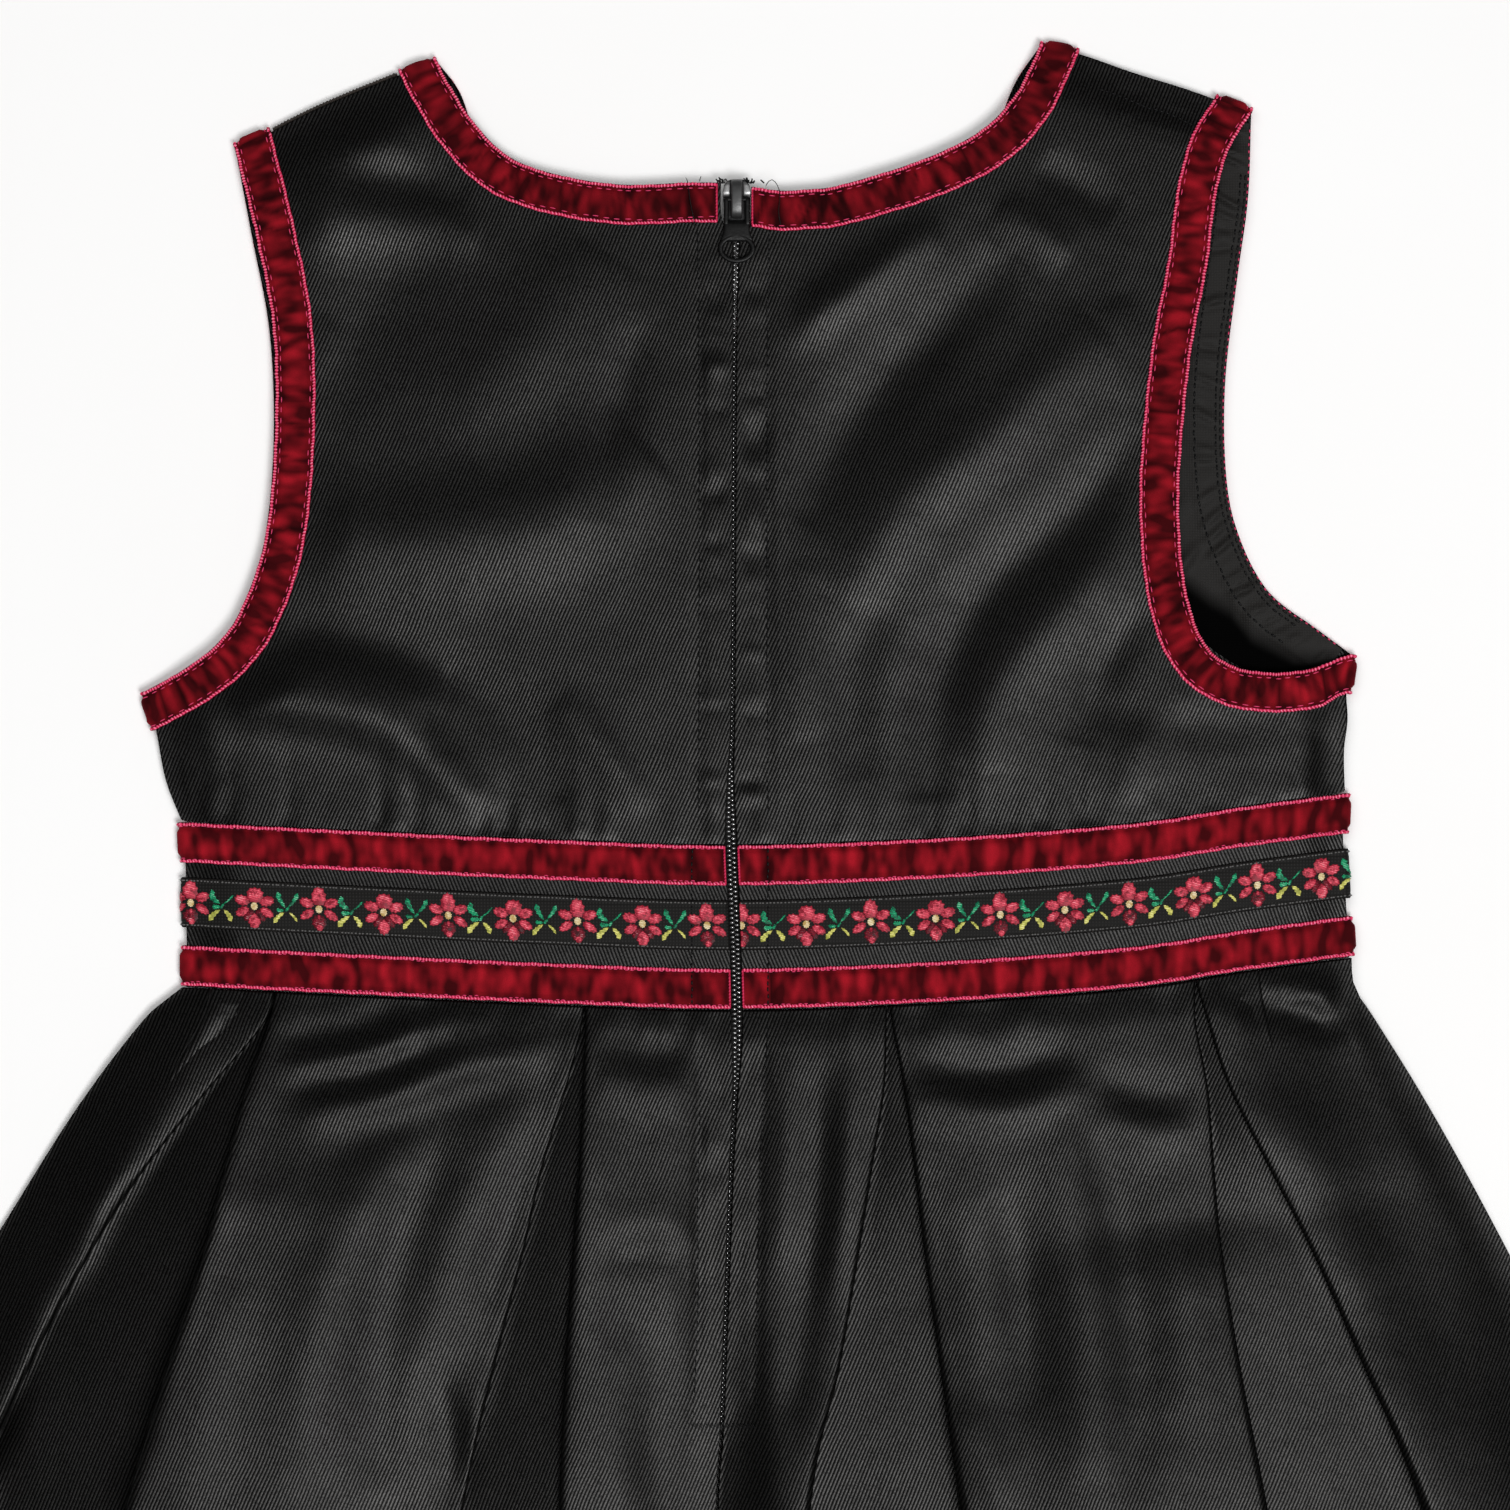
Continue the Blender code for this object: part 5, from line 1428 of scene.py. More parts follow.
FLOWER_TOP = 13.8  # the flower ribbon's upper edge, below the waist seam
FLOWER_PITCH = 16.17
FLOWER_MIDDLE = 6.3  # the flowers' centres, from the ribbon's upper edge
FIRST_FLOWER, LAST_FLOWER = 5.4, 0.3  # of the end flowers, from the ribbon's ends
LEFT_FLOWERS, RIGHT_FLOWERS = 9, 10  # at the full pitch from each end
FLOWER_SIZE = np.array([1.16, 1.12, 1.0])  # of the flowers below, across, up and in relief
PETAL_POINTS, STROKE_POINTS = 20, 9
ROUND = np.linspace(0, 2 * math.pi, PETAL_POINTS, endpoint=False)
RINGS = np.array([0.0, 0.7, 1.0])[:, None]  # a petal's rings, as shares of the way out
RIM = np.array([1.0, 1.0, 0.0])[:, None]  # how bright they are
JAGGED = 0.1 * (-1.0) ** np.arange(PETAL_POINTS) * np.linspace(0.5, 1.2, PETAL_POINTS)
FLOWER_RIBBON_WIDTH = 12.5
FLOAT_BASE, PETAL_DOME, STROKE_DOME = 0.12, 0.3, 0.26  # heights of what is woven
PETAL_LONG, PETAL_WIDE, TIP_REACH = 0.88, 0.9, 0.35  # times the sizes in the table below
DOT_ROWS = (0.75, 11.85)  # rows of dots, from the ribbon's upper edge
GROUND_HEIGHT, GROUND_ROUND = 0.3, 0.28  # at the ribbon's edges, and more within
FURROW_DEPTH, FURROW_MIDDLE, FURROW_WIDTH = 0.14, 1.35, 0.35  # beside each row of dots

# Petals of the two kinds of flower, in millimetres from its centre, up towards the neck:
# x, y of the petal's middle, the way it points in degrees, half its length and half its
# width, how pointed its tip is (negative is notched), and its thread.
FLOWER_KINDS = [
    [(0, 2.7, 90, 2.3, 1.75, 0.5, "coral"), (-2.6, 1.3, 158, 1.75, 1.2, 0.2, "coral"),
     (2.6, 1.4, 22, 1.75, 1.2, 0.2, "coral"), (-2.5, -1.2, 215, 1.8, 1.05, 0.5, "coral"),
     (2.5, -1.2, -35, 1.8, 1.05, 0.5, "coral"), (0, -2.9, -90, 1.9, 1.75, -0.2, "crimson"),
     (0.1, -3.9, -90, 1.0, 0.9, 0.5, "coral"), (0, -2.0, -90, 0.9, 0.5, 0.3, "coral")],
    [(0.2, 2.5, 90, 2.1, 2.0, -0.35, "coral"), (-2.6, 1.2, 162, 1.8, 1.25, 0.1, "coral"),
     (2.7, 1.2, 18, 1.8, 1.25, 0.1, "coral"), (-2.5, -1.3, 210, 1.7, 1.1, 0.3, "coral"),
     (2.6, -1.3, -30, 1.7, 1.1, 0.4, "coral"), (-1.2, -2.0, 235, 1.7, 0.9, 0.2, "crimson"),
     (1.3, -2.0, -55, 1.7, 0.9, 0.2, "crimson"), (0, -3.2, -90, 1.8, 1.5, 0.6, "coral")],
]

FLOWER_EYE, EYE_RISE = (0, 0, 90, 1.1, 0.95, 0), 0.25  # its middle, over the petals

# Strokes of the two kinds of sprig, from its middle: start, end, half width at each,
# sideways bow, thread.
SPRIG_KINDS = [
    [(-0.3, -0.1, -2.3, 3.9, 0.28, 0.75, 0.3, "green"),
     (0.4, 0.2, 2.9, 3.8, 0.22, 0.62, -0.3, "green"),
     (-0.6, -0.7, -2.6, -0.6, 0.3, 0.5, 0.1, "green"),
     (-0.6, -1.2, -3.3, -4.0, 0.3, 0.62, -0.3, "yellow"),
     (0.6, -1.2, 2.6, -3.4, 0.24, 0.34, 0.2, "yellow"),
     (-0.4, -1.0, 0.6, 0.2, 0.3, 0.3, 0, "green")],
    [(-0.4, 0.2, -2.6, 3.6, 0.5, 0.85, 0.9, "green"),
     (0.3, 0.1, 3.0, 2.6, 0.16, 0.24, -0.2, "green"),
     (-0.3, -0.5, -2.6, -0.7, 0.35, 0.62, 0.1, "green"),
     (-0.4, -1.3, -3.4, -4.2, 0.3, 0.8, -0.3, "yellow"),
     (0.5, -1.3, 2.4, -4.1, 0.34, 0.72, 0.3, "yellow"),
     (-0.3, -1.1, 0.5, 0.3, 0.3, 0.3, 0, "green")],
]


def petal(x, y, degrees, long, wide, tip):
    """Domed patch. Its outline is an ellipse whose end is drawn out by tip times the cosine
    to the fourth, stepped a little as woven edges are; the dome falls off with the square of
    the share of the way out. Gives x, y and height, ring by ring."""
    reach = 1 + tip * TIP_REACH * np.maximum(np.cos(ROUND), 0) ** 4 + JAGGED
    u = RINGS * reach * long * np.cos(ROUND) * PETAL_LONG
    v = RINGS * (1 + JAGGED) * wide * PETAL_WIDE * np.sin(ROUND)
    turn = math.radians(degrees)
    return points_at(x + u * math.cos(turn) - v * math.sin(turn),
                     y + u * math.sin(turn) + v * math.cos(turn),
                     FLOAT_BASE + PETAL_DOME * (1 - RINGS ** 2))


def stroke(x0, y0, x1, y1, half0, half1, bow):
    """Leaf stroke: along a line bowed by a sine, its half width runs from half0 to half1
    and closes at both ends; higher in the middle than at its edges."""
    t = np.linspace(0, 1, STROKE_POINTS)[:, None]
    side = np.array([-1.0, 0.0, 1.0])[None]
    length = math.hypot(x1 - x0, y1 - y0)
    dx, dy = (x1 - x0) / length, (y1 - y0) / length
    half = (half0 + (half1 - half0) * t) * np.sqrt(np.clip(1 - (2 * t - 1) ** 6, 0, 1))
    half = half * (1 + 0.24 * (-1.0) ** np.arange(STROKE_POINTS))[:, None]
    off = bow * np.sin(t * math.pi) + half * side
    return points_at(x0 + (x1 - x0) * t - dy * off, y0 + (y1 - y0) * t + dx * off,
                     FLOAT_BASE + STROKE_DOME * (1 - side ** 2))


def woven(name, colour, dark):
    """Bright woven float: fine threads along the ribbon, painted lighter on top of each and
    darker between them, a painted light and shade; darker too towards a flower's middle, at
    each petal's rim and in flecks, and pale at its brightest spots, a painted highlight."""
    made, tree, shader = started(name, Roughness=0.5, Specular_IOR_Level=0.3)
    where = place(tree)
    lines = banded(tree, bent(tree, where, 300, 0.0003), 12, 0.00042)
    grain = noise(tree, where, 620, 3, 0.7)
    fleck = spread(tree, grain, 0.4, 0.56)
    # Painted light and shade: the share is higher on each thread's top, lower between.
    share = number(tree, "MULTIPLY", fleck, scaled(tree, lines, 0.85, 0.25))
    share = number(tree, "MULTIPLY", share, attribute(tree, "reach"))
    # Painted highlight: the brightest spots of the float turn pale.
    highlight_colour = tuple(value + 0.35 * (1 - value) for value in colour)
    floats = mixed(tree, share, (*dark, 1), (*colour, 1))
    painted_highlight = scaled(tree, number(tree, "MULTIPLY", share, grain), 5.0, -2.6)
    painted(tree, shader, mixed(tree, painted_highlight, floats, (*highlight_colour, 1)), lifted(tree, share, 0.00012))
    return made


THREADS = {
    "coral": woven("coral floats", (1.0, 0.11, 0.17), (0.2, 0.004, 0.016)),
    "crimson": woven("crimson floats", (0.3, 0.006, 0.025), (0.04, 0.001, 0.004)),
    "cream": woven("cream floats", (0.9, 0.78, 0.5), (0.45, 0.3, 0.1)),
    "green": woven("green floats", (0.01, 0.45, 0.19), (0.002, 0.07, 0.035)),
    "yellow": woven("yellow-green floats", (0.85, 0.8, 0.2), (0.25, 0.26, 0.04)),
}
JACQUARD = plain_weave("black jacquard ground", 0.009, 0.6, 0.0008)
DOT = thread_finish("grey ribbed edge", (0.17, 0.165, 0.16), (0.05, 0.05, 0.05))


def placed_on(strip, s, shapes, field):
    """Lays flat shapes on a strip at the distances s: x runs back along the strip, y up
    across it. Gives the points, shape by shape."""
    x, y, high = (shapes[None, ..., k] for k in range(3))
    along = s.reshape((-1,) + (1,) * (shapes.ndim - 1)) - x
    points, _ = strip.at(along, FLOWER_MIDDLE - y + 0 * along, high + 0 * along, field)
    return points


def flower_places(strip):
    """Distances along the ribbon of the flowers: from each zip edge round to the sides at
    the ribbon's pitch, and at an even pitch close to it between."""
    end = strip.run[-1]
    first = FIRST_FLOWER + FLOWER_PITCH * np.arange(LEFT_FLOWERS)
    last = end - LAST_FLOWER - FLOWER_PITCH * np.arange(RIGHT_FLOWERS)
    gap = last[-1] - first[-1]
    count = round(gap / FLOWER_PITCH)
    middle = first[-1] + gap / count * np.arange(1, count)
    return np.sort(np.concatenate([first, middle, last]))


def from_middle(shape):
    """How bright a petal's points are: more so away from the flower's middle, and not at
    its rim."""
    away = np.hypot(shape[..., 0], shape[..., 1])
    return (0.1 + 0.9 * fade(away, 0.9, 2.0)) * RIM


def build_flower_ribbon():
    """Black ribbon with a ribbed line of dots along each edge, and its flowers and sprigs by
    turns, woven in five threads."""
    strip = waist_strip(FLOWER_TOP, FLOWER_ACROSS)
    inner = np.minimum(strip.across, FLOWER_RIBBON_WIDTH - strip.across)
    high = (GROUND_HEIGHT + GROUND_ROUND * ramp(inner / 0.5)
            - FURROW_DEPTH * bell(inner - FURROW_MIDDLE, FURROW_WIDTH))
    field = np.broadcast_to(high, strip.base.shape[:2])
    parts = {key: [] for key in THREADS}
    reaches = {key: [] for key in THREADS}

    def weave(key, s, shape, quads, reach):
        """Adds a shape in one thread at each of the distances s."""
        reach = np.broadcast_to(reach, shape.shape[:2])
        points = placed_on(strip, s, shape, field).reshape(-1, 3)
        parts[key].append((points, copied(quads, len(s), reach.size)))
        reaches[key].append(np.tile(reach.ravel(), len(s)))

    rings = quads_of(len(RINGS), PETAL_POINTS, round_too=True)[:, ::-1]
    middle = petal(*FLOWER_EYE) + (0, 0, EYE_RISE)
    centres = flower_places(strip)
    for kind, petals in enumerate(FLOWER_KINDS):
        s = centres[kind::2]
        for *row, key in petals:
            shape = petal(*row) * FLOWER_SIZE
            weave(key, s, shape, rings, from_middle(shape))
        weave("cream", s, middle, rings, 1.0)
    sprigs = (centres[1:] + centres[:-1]) / 2
    for kind, strokes in enumerate(SPRIG_KINDS):
        for *row, key in strokes:
            weave(key, sprigs[kind::2], stroke(*row), quads_of(STROKE_POINTS, 3), 1.0)
    pieces = [threads("woven_" + key + "_of_flower_ribbon", parts[key], THREADS[key],
                      values={"reach": np.concatenate(reaches[key])})
              for key in THREADS]
    dots = [stitch_row(strip, w, field, pitch=0.9, length=0.55, radius=0.23, rise=0.16, start=0.3,
                       wander=0.02) for w in DOT_ROWS]
    pieces.append(threads("ribbed_edges_of_flower_ribbon", dots, DOT))
    uv = points_at(strip.across[None], strip.run[:, None])
    cloth("black_flower_ribbon", strip.raised(field), JACQUARD,
          ["flower_ribbon"], wall=0.3, uv=uv)


# ------------ zip

TOOTH_PITCH = 1.2
PIVOT = np.array([0.45, 271.9, 6.5])  # a point on the tab's axis, which runs along X


def metal(name, value, rough, wear=0.3):
    """Painted zip metal: dark coat with fine grain, a little lighter where it has rubbed."""
    made, tree, shader = started(name, Metallic=0.85, Roughness=rough)
    grain = noise(tree, place(tree), 1500, 3)
    worn = number(tree, "MULTIPLY", noise(tree, place(tree), 260, 3, 0.6), wear)
    tree.links.new(scaled(tree, grain, 0.2, rough - 0.1), shader.inputs["Roughness"])
    painted(tree, shader, mixed(tree, worn, grey(value), grey(value * 2.4)),
            lifted(tree, grain, 0.00003))
    return made


TAPE = plain_weave("black zip tape", 0.006, 0.8, 0.0006)
TAB_METAL = metal("black enamelled tab", 0.014, 0.42, 0.2)
CROWN_METAL = metal("dark grey crown", 0.09, 0.42)
BODY_METAL = thread_finish("black slider body", (0.012, 0.012, 0.013), (0.006, 0.006, 0.006))
SHOULDER_METAL = metal("rubbed grey shoulders", 0.3, 0.42)
COIL = metal("glossy black teeth", 0.35, 0.2, 0.6)


def loft(centre, across, up, half_across, half_up, power, sides, closed=False):
    """Solid carried along a path: at each point a ring in the plane of across and up, a
    superellipse of the given half sizes; its ends shrink to points unless it is closed."""
    angle = np.arange(sides) / sides * 2 * math.pi
    c = np.sign(np.cos(angle)) * np.abs(np.cos(angle)) ** (2 / power)
    d = np.sign(np.sin(angle)) * np.abs(np.sin(angle)) ** (2 / power)
    across, up = np.broadcast_to(across, centre.shape), np.broadcast_to(up, centre.shape)
    half_across, half_up = (np.broadcast_to(h, len(centre)) for h in (half_across, half_up))
    if not closed:
        shut = np.array([0.001])
        centre, across, up = (np.concatenate([a[:1], a, a[-1:]]) for a in (centre, across, up))
        half_across, half_up = (np.concatenate([shut, h, shut]) for h in (half_across, half_up))
    points = (centre[:, None] + across[:, None] * (half_across[:, None] * c)[..., None]
              + up[:, None] * (half_up[:, None] * d)[..., None])
    return points.reshape(-1, 3), quads_of(len(centre), sides, closed, round_too=True)


def outward(points, faces):
    """The same faces, turned so that a closed shape has a positive volume, which goes with
    the sum over its quads of the diagonals' cross product times the way from the middle."""
    a, b, c, d = (points[faces[:, k]] for k in range(4))
    volume = (np.cross(c - a, d - b) * (a - points.mean(axis=0))).sum()
    return points, faces if volume > 0 else faces[:, ::-1]


def hard_piece(name, parts, finish, body, node_names=()):
    """One piece of closed parts, and the nodes that it stands for."""
    points, faces = together([outward(*part) for part in parts])
    made = add_piece(name, mesh_from(name, points, faces), finish, body)
    if node_names:
        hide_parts(*node_names)
    return made


TAPE_ROWS, TAPE_COLUMNS = 320, 6
TAPE_SHOWS_Y = 263.0  # above this the tapes part, as the table of the zip says
TAPE_INNER = 0.3  # from the zip's line to a tape's inner edge, below it
TEETH_TOP_Y, TEETH_END_Y = 265.2, -36.0
TOOTH_RINGS, TOOTH_SIDES = 6, 6
TOOTH_RADIUS = 0.31


def build_zip():
    """Tapes under the panels' edges, and between them two rows of teeth, each a rounded bar
    across the zip, set half a pitch apart."""
    ys = np.linspace(ZIP_TOP_Y, ZIP_END_Y, TAPE_ROWS)
    for name, sign in (("left", -1), ("right", 1)):
        beside = np.where(ys > TAPE_SHOWS_Y, tape_edge(ys), TAPE_INNER)
        inner = (zip_x(ys) + sign * beside)[:, None]
        outer = (zip_x(ys) + sign * TAPE_REACH)[:, None]
        x = inner + (outer - inner) * np.linspace(0, 1, TAPE_COLUMNS)
        tape = points_at(x, ys[:, None], ZIP_TOP)
        cloth("zip_tape_" + name + "_woven", tape, TAPE, ["zip_tape_" + name],
              wall=0.6)
    rows = [teeth(-1, 0.0), teeth(1, TOOTH_PITCH / 2)]
    hard_piece("zip_teeth", rows, COIL, DRESS, ["zip_coil"])
    build_slider()
    build_tab()


def teeth(sign, shift):
    """One row of teeth: bars that are thinner at both ends and arched by a parabola. They
    reach about as far as the panel's edge, stand up at the waistband, and lie low where the
    panels nearly meet."""
    y = np.arange(TEETH_TOP_Y, TEETH_END_Y, -TOOTH_PITCH) - shift
    at_band = ramp((113 - y) / 4) * fade(y, 64, 4)
    rise = 1.1 * at_band - 1.3 * ramp((0.8 - zip_gap(y)) / 0.2)
    t = np.linspace(-1, 1, TOOTH_RINGS)
    half = (np.clip(zip_gap(y) - 0.2, 0.5, 1.1) / 2)[:, None]
    x = zip_x(y)[:, None] + sign * (half + 0.02) + half * t[None]
    z = (ZIP_TOP - 0.2 + rise)[:, None] + 0.28 * (1 - t ** 2)[None]
    centre = points_at(x, y[:, None], z)
    size = np.broadcast_to(TOOTH_RADIUS * np.sqrt(1.02 - t ** 4), x.shape).copy()
    size[:, [0, -1]] = POINTED
    return tubes(centre, np.broadcast_to(UPWARDS, centre.shape), size, TOOTH_SIDES)


# Sections of the slider's body from the neck end: y, half its width, half its height.
SLIDER = np.array([(277.0, 1.6, 0.7), (276.6, 2.4, 0.95), (275.6, 3.2, 1.1), (274.0, 3.4, 1.1),
                   (272.0, 3.35, 1.1), (269.5, 3.0, 1.1), (267.3, 2.7, 1.1), (266.3, 2.4, 1.0),
                   (266.0, 2.0, 0.8)])
SLIDER_MIDDLE_Z = 4.3
# A shoulder's middle line: x from the axis, y, half its width.
SHOULDER = np.array([(1.9, 276.4, 0.3), (2.4, 275.4, 0.75), (2.6, 274.0, 0.95), (2.6, 272.6, 0.9)])
SHOULDER_Z = 5.2
# The crown's arch over the tab's bar, from the neck end: y, z.
CROWN = [(276.4, 5.2), (276.5, 6.3), (276.1, 7.2), (274.8, 7.8), (272.0, 8.0), (269.4, 7.8),
         (268.1, 7.2), (267.6, 6.2), (267.6, 5.2)]
CROWN_HALF, CROWN_THICK = 1.35, 0.45
EAST = np.array([1.0, 0.0, 0.0])


def in_middle(y, z):
    """Points on the zip's plane through the tab's middle."""
    return points_at(PIVOT[0], y, z)


def build_slider():
    """Slider: a body with two shoulders that narrows to the coil, and its crown, a strap
    bent over the tab's bar from the neck end to the coil end."""
    y, half, tall = SLIDER.T
    body = loft(in_middle(y, SLIDER_MIDDLE_Z), EAST, UPWARDS, half, tall, 5.0, 28)
    hard_piece("slider_body", [body], BODY_METAL, DRESS, ["zip_slider"])
    x, y, half = SHOULDER.T
    shoulders = [loft(in_middle(y, SHOULDER_Z) + sign * x[:, None] * EAST, EAST, UPWARDS, half,
                      0.32, 5.0, 16) for sign in (-1, 1)]
    hard_piece("slider_shoulders", shoulders, SHOULDER_METAL, DRESS)
    arch = in_middle(*spline(CROWN, 40).T)
    up = unit(np.cross(np.gradient(arch, axis=0), EAST))
    crown = loft(arch, EAST, up, CROWN_HALF, CROWN_THICK, 5.0, 20)
    hard_piece("slider_crown", [crown], CROWN_METAL, DRESS)


# The tab, measured from its axis. Its web: distance, half its width, half its thickness.
WEB = np.array([(5.5, 2.9, 0.45), (6.4, 3.15, 0.6), (7.6, 3.2, 0.6), (8.8, 3.45, 0.6),
                (9.8, 3.9, 0.58), (10.6, 4.1, 0.5)])
BAR_ENDS = [(-3.0, 0), (3.0, 0)]
RING_MIDDLE = 12.3
RING_ACROSS, RING_ALONG = 4.05, 3.05
RING_WIDE, RING_THICK = 0.62, 0.6
RING_POINTS = 48
ROD_POINTS = 14


def build_tab():
    """Pull tab, lying flat: a bar under the crown, two arms beside it, a web that widens,
    and an oval ring."""
    parts = [rod(BAR_ENDS, 0.55, 0.55)]
    for sign in (-1, 1):
        parts.append(rod([(sign * 2.62, 0.5), (sign * 2.62, -3.0), (sign * 2.68, -6.6)], 0.62, 0.6))
    away, half, thick = WEB.T
    parts.append(loft(in_middle(PIVOT[1] - away, PIVOT[2]), EAST, UPWARDS, half, thick, 6.0, 28))
    around = np.linspace(0, 2 * math.pi, RING_POINTS, endpoint=False)
    ring = PIVOT + points_at(RING_ACROSS * np.cos(around),
                             RING_ALONG * np.sin(around) - RING_MIDDLE, 0)
    out = unit(points_at(np.cos(around), np.sin(around) * 1.2, 0))
    parts.append(loft(ring, out, UPWARDS, RING_WIDE, RING_THICK, 3.0, 14, closed=True))
    hard_piece("pull_tab_metal", parts, TAB_METAL, "pull_tab", ["zip_pull_tab"])


def rod(points, half, thick):
    """Straight or bent bar through points measured from the tab's axis. Its section is even
    and rounds off at both ends as a quarter circle does."""
    line = evenly(np.array(points, float), ROD_POINTS)
    centre = PIVOT + np.column_stack([line, np.zeros(ROD_POINTS)])
    across = np.cross(UPWARDS, unit(np.gradient(centre, axis=0)))
    end = np.minimum(np.linspace(0, 1, ROD_POINTS), np.linspace(1, 0, ROD_POINTS)) * ROD_POINTS
    size = np.sqrt(np.clip(1 - (1 - np.minimum(end + 0.35, 1)) ** 2, 0.1, 1))
    return loft(centre, across, UPWARDS, half * size, thick * size, 3.5, 14)
# ------------ sewing

# Stitch lines beside the zip, from the neck down, in millimetres.
PLACKET = [
    ("satin_bodice_back_left", [(-9.4, 265), (-9.0, 240), (-8.9, 180), (-9.1, 117)]),
    ("satin_bodice_back_right", [(8.6, 265), (8.1, 240), (8.0, 180), (8.3, 117)]),
    ("satin_skirt_back_left", [(-7.9, 66.5), (-9.25, 24.9), (-9.25, -5.9), (-10.5, -33.5)]),
    ("satin_skirt_back_right", [(8.25, 66.5), (6.25, 29.4), (5.75, 2.9), (5.1, -33.5)]),
]
SHOULDER_SEAM_RIGHT = [(90.6, 299.7), (97, 297.6), (102.8, 295.1), (108.5, 293.4),
                       (116.5, 289.6)]
SKIRT_BACKS = ["satin_skirt_back_left", "satin_skirt_back_right"]
BAR_TACK_X, BAR_TACK_Y = (-10.8, 4.9), -34.5
BAR_TACK_POINTS, BAR_TACK_SIDES = 60, 6
OVERCAST = thread_finish("grey overcast edge", (0.05, 0.04, 0.034), (0.012, 0.01, 0.009))
OVERCAST_PITCH, OVERCAST_SIDES = 0.9, 8
OVERCAST_CLEAR = (10.5, 10.4)  # left to the ribbons at the seam's ends
WAIST_ROWS = [("satin_waistband_back_left", -10.75), ("satin_waistband_back_right", 8.25)]
WAIST_RIBBONS = ["velvet_waist_ribbon_upper", "black_flower_ribbon", "velvet_waist_ribbon_lower"]
WAIST_ROW_Y = np.linspace(110.0, 70.5, 60)
# Rows of stitches on the armhole's lining: how far in from its edge, and the row's seed.
ARMHOLE_ROWS = [(1.1, 7), (2.3, 8), (7.6, 9)]
HEM_SHARE = 0.935  # the hem's stitches, as a share of the way down the skirt
ARMHOLE_POINTS = 80

# Thread ends that lie loose at the neck: radius, and points in millimetres.
LOOSE_ENDS = [
    (0.11, [(-12.4, 277.6, 4.0), (-11.8, 276.2, 6.9), (-11.2, 271.5, 7.1), (-10.2, 266.4, 6.9),
            (-10.0, 264.6, 5.9)]),
    (0.11, [(-8.9, 276.4, 5.9), (-8.5, 277.8, 5.3)]),
    (0.11, [(11.6, 264.8, 5.9), (10.9, 268.5, 6.9), (11.2, 273.0, 7.1), (10.5, 275.6, 6.9),
            (9.2, 276.9, 5.9), (8.1, 276.0, 5.5), (7.6, 274.9, 5.9)]),
    (0.2, [(6.4, 276.9, 4.9), (7.3, 276.0, 5.9)]),
]
TACKS_X, TACK_ENDS = (-3.3, 3.5), 14  # middles of the neck tacks, thread ends of each
THREAD_RINGS = 18  # rings along a loose thread end


def squares_between(points, x, y):
    """Square of the distance in the plane from each x, y to each of the points."""
    return (points[:, 0] - x[:, None]) ** 2 + (points[:, 1] - y[:, None]) ** 2


def resting(names, x, y):
    """Height of what lies at x, y: the mean of a panel's four nearest points, weighted by
    nearness."""
    points = np.concatenate([LAID_OUT[name].reshape(-1, 3) for name in names])
    away = squares_between(points, x, y)
    nearest = np.argpartition(away, 4, axis=1)[:, :4]
    weight = 1 / (np.take_along_axis(away, nearest, axis=1) + 0.01)
    return (points[nearest, 2] * weight).sum(axis=1) / weight.sum(axis=1)


def top_of(grid, x, y):
    """Height of a ribbon's or panel's upper points where they lie within a millimetre of
    x, y, else far below."""
    points = grid.reshape(-1, 3)
    points = points[points[:, 2] > BACK]
    away = squares_between(points, x, y)
    return np.where(away.min(axis=1) < 1.0, points[away.argmin(axis=1), 2], -9.0)


def upright(path, up=1.0):
    """A normal along Z for each point of a path."""
    return np.broadcast_to(up * UPWARDS, path.shape)


def one_tube(line, size, sides):
    """A single round thread along a line of points that lies about flat."""
    return tubes(line[None], upright(line)[None], size[None], sides)


def dashes(path, normal, pitch=2.4, length=1.7, radius=0.19, rise=0.16, seed=1, sway=0.05):
    """Stitches along a path of points: each is a thread from one needle hole to the next,
    raised along the normal by a power of half a sine."""
    random = np.random.default_rng(seed)
    run = run_along(path)
    first = np.arange(0.4, run[-1] - length, pitch)
    s = first[:, None] + random.normal(0, 0.08, len(first))[:, None] + ALONG_STITCH * length
    centre, facing = (points_at(*(np.interp(s, run, axis) for axis in rows.T))
                      for rows in (path, normal))
    side = unit(np.cross(np.gradient(centre, axis=1), facing))
    centre = centre + side * random.normal(0, sway, len(first))[:, None, None]
    centre = centre + facing * (rise * STITCH_RISE - 0.05)[None, :, None]
    size = radius * STITCH_SIZES + 0 * s
    return tubes(centre, facing, size, CORD_SIDES)


def sewn_on(names, path, **how):
    """Stitches on panels along a path in the plane, read again about once a millimetre."""
    line = spline(path, max(8, int(run_along(np.array(path, float))[-1])))
    points = points_at(*line.T, resting(names, *line.T))
    return dashes(points, upright(points), **how)


def in_from_armhole(away):
    """The front's right armhole moved in by a distance: points plus normals times it."""
    edge = spline(FRONT_ARMHOLE_RIGHT, ARMHOLE_POINTS)
    return edge + inward_of(edge, -1) * away


def sew_placket():
    """Stitch lines on the back panels beside the zip, and along the right shoulder seam."""
    lines = [sewn_on([name], path, seed=seed) for seed, (name, path) in enumerate(PLACKET, 1)]
    threads("placket_stitches", lines, BLACK_THREAD)
    seam = sewn_on(["satin_bodice_back_right"], SHOULDER_SEAM_RIGHT, pitch=1.6, length=1.4,
                   radius=0.22, seed=5)
    threads("shoulder_stitches", [seam], BLACK_THREAD)


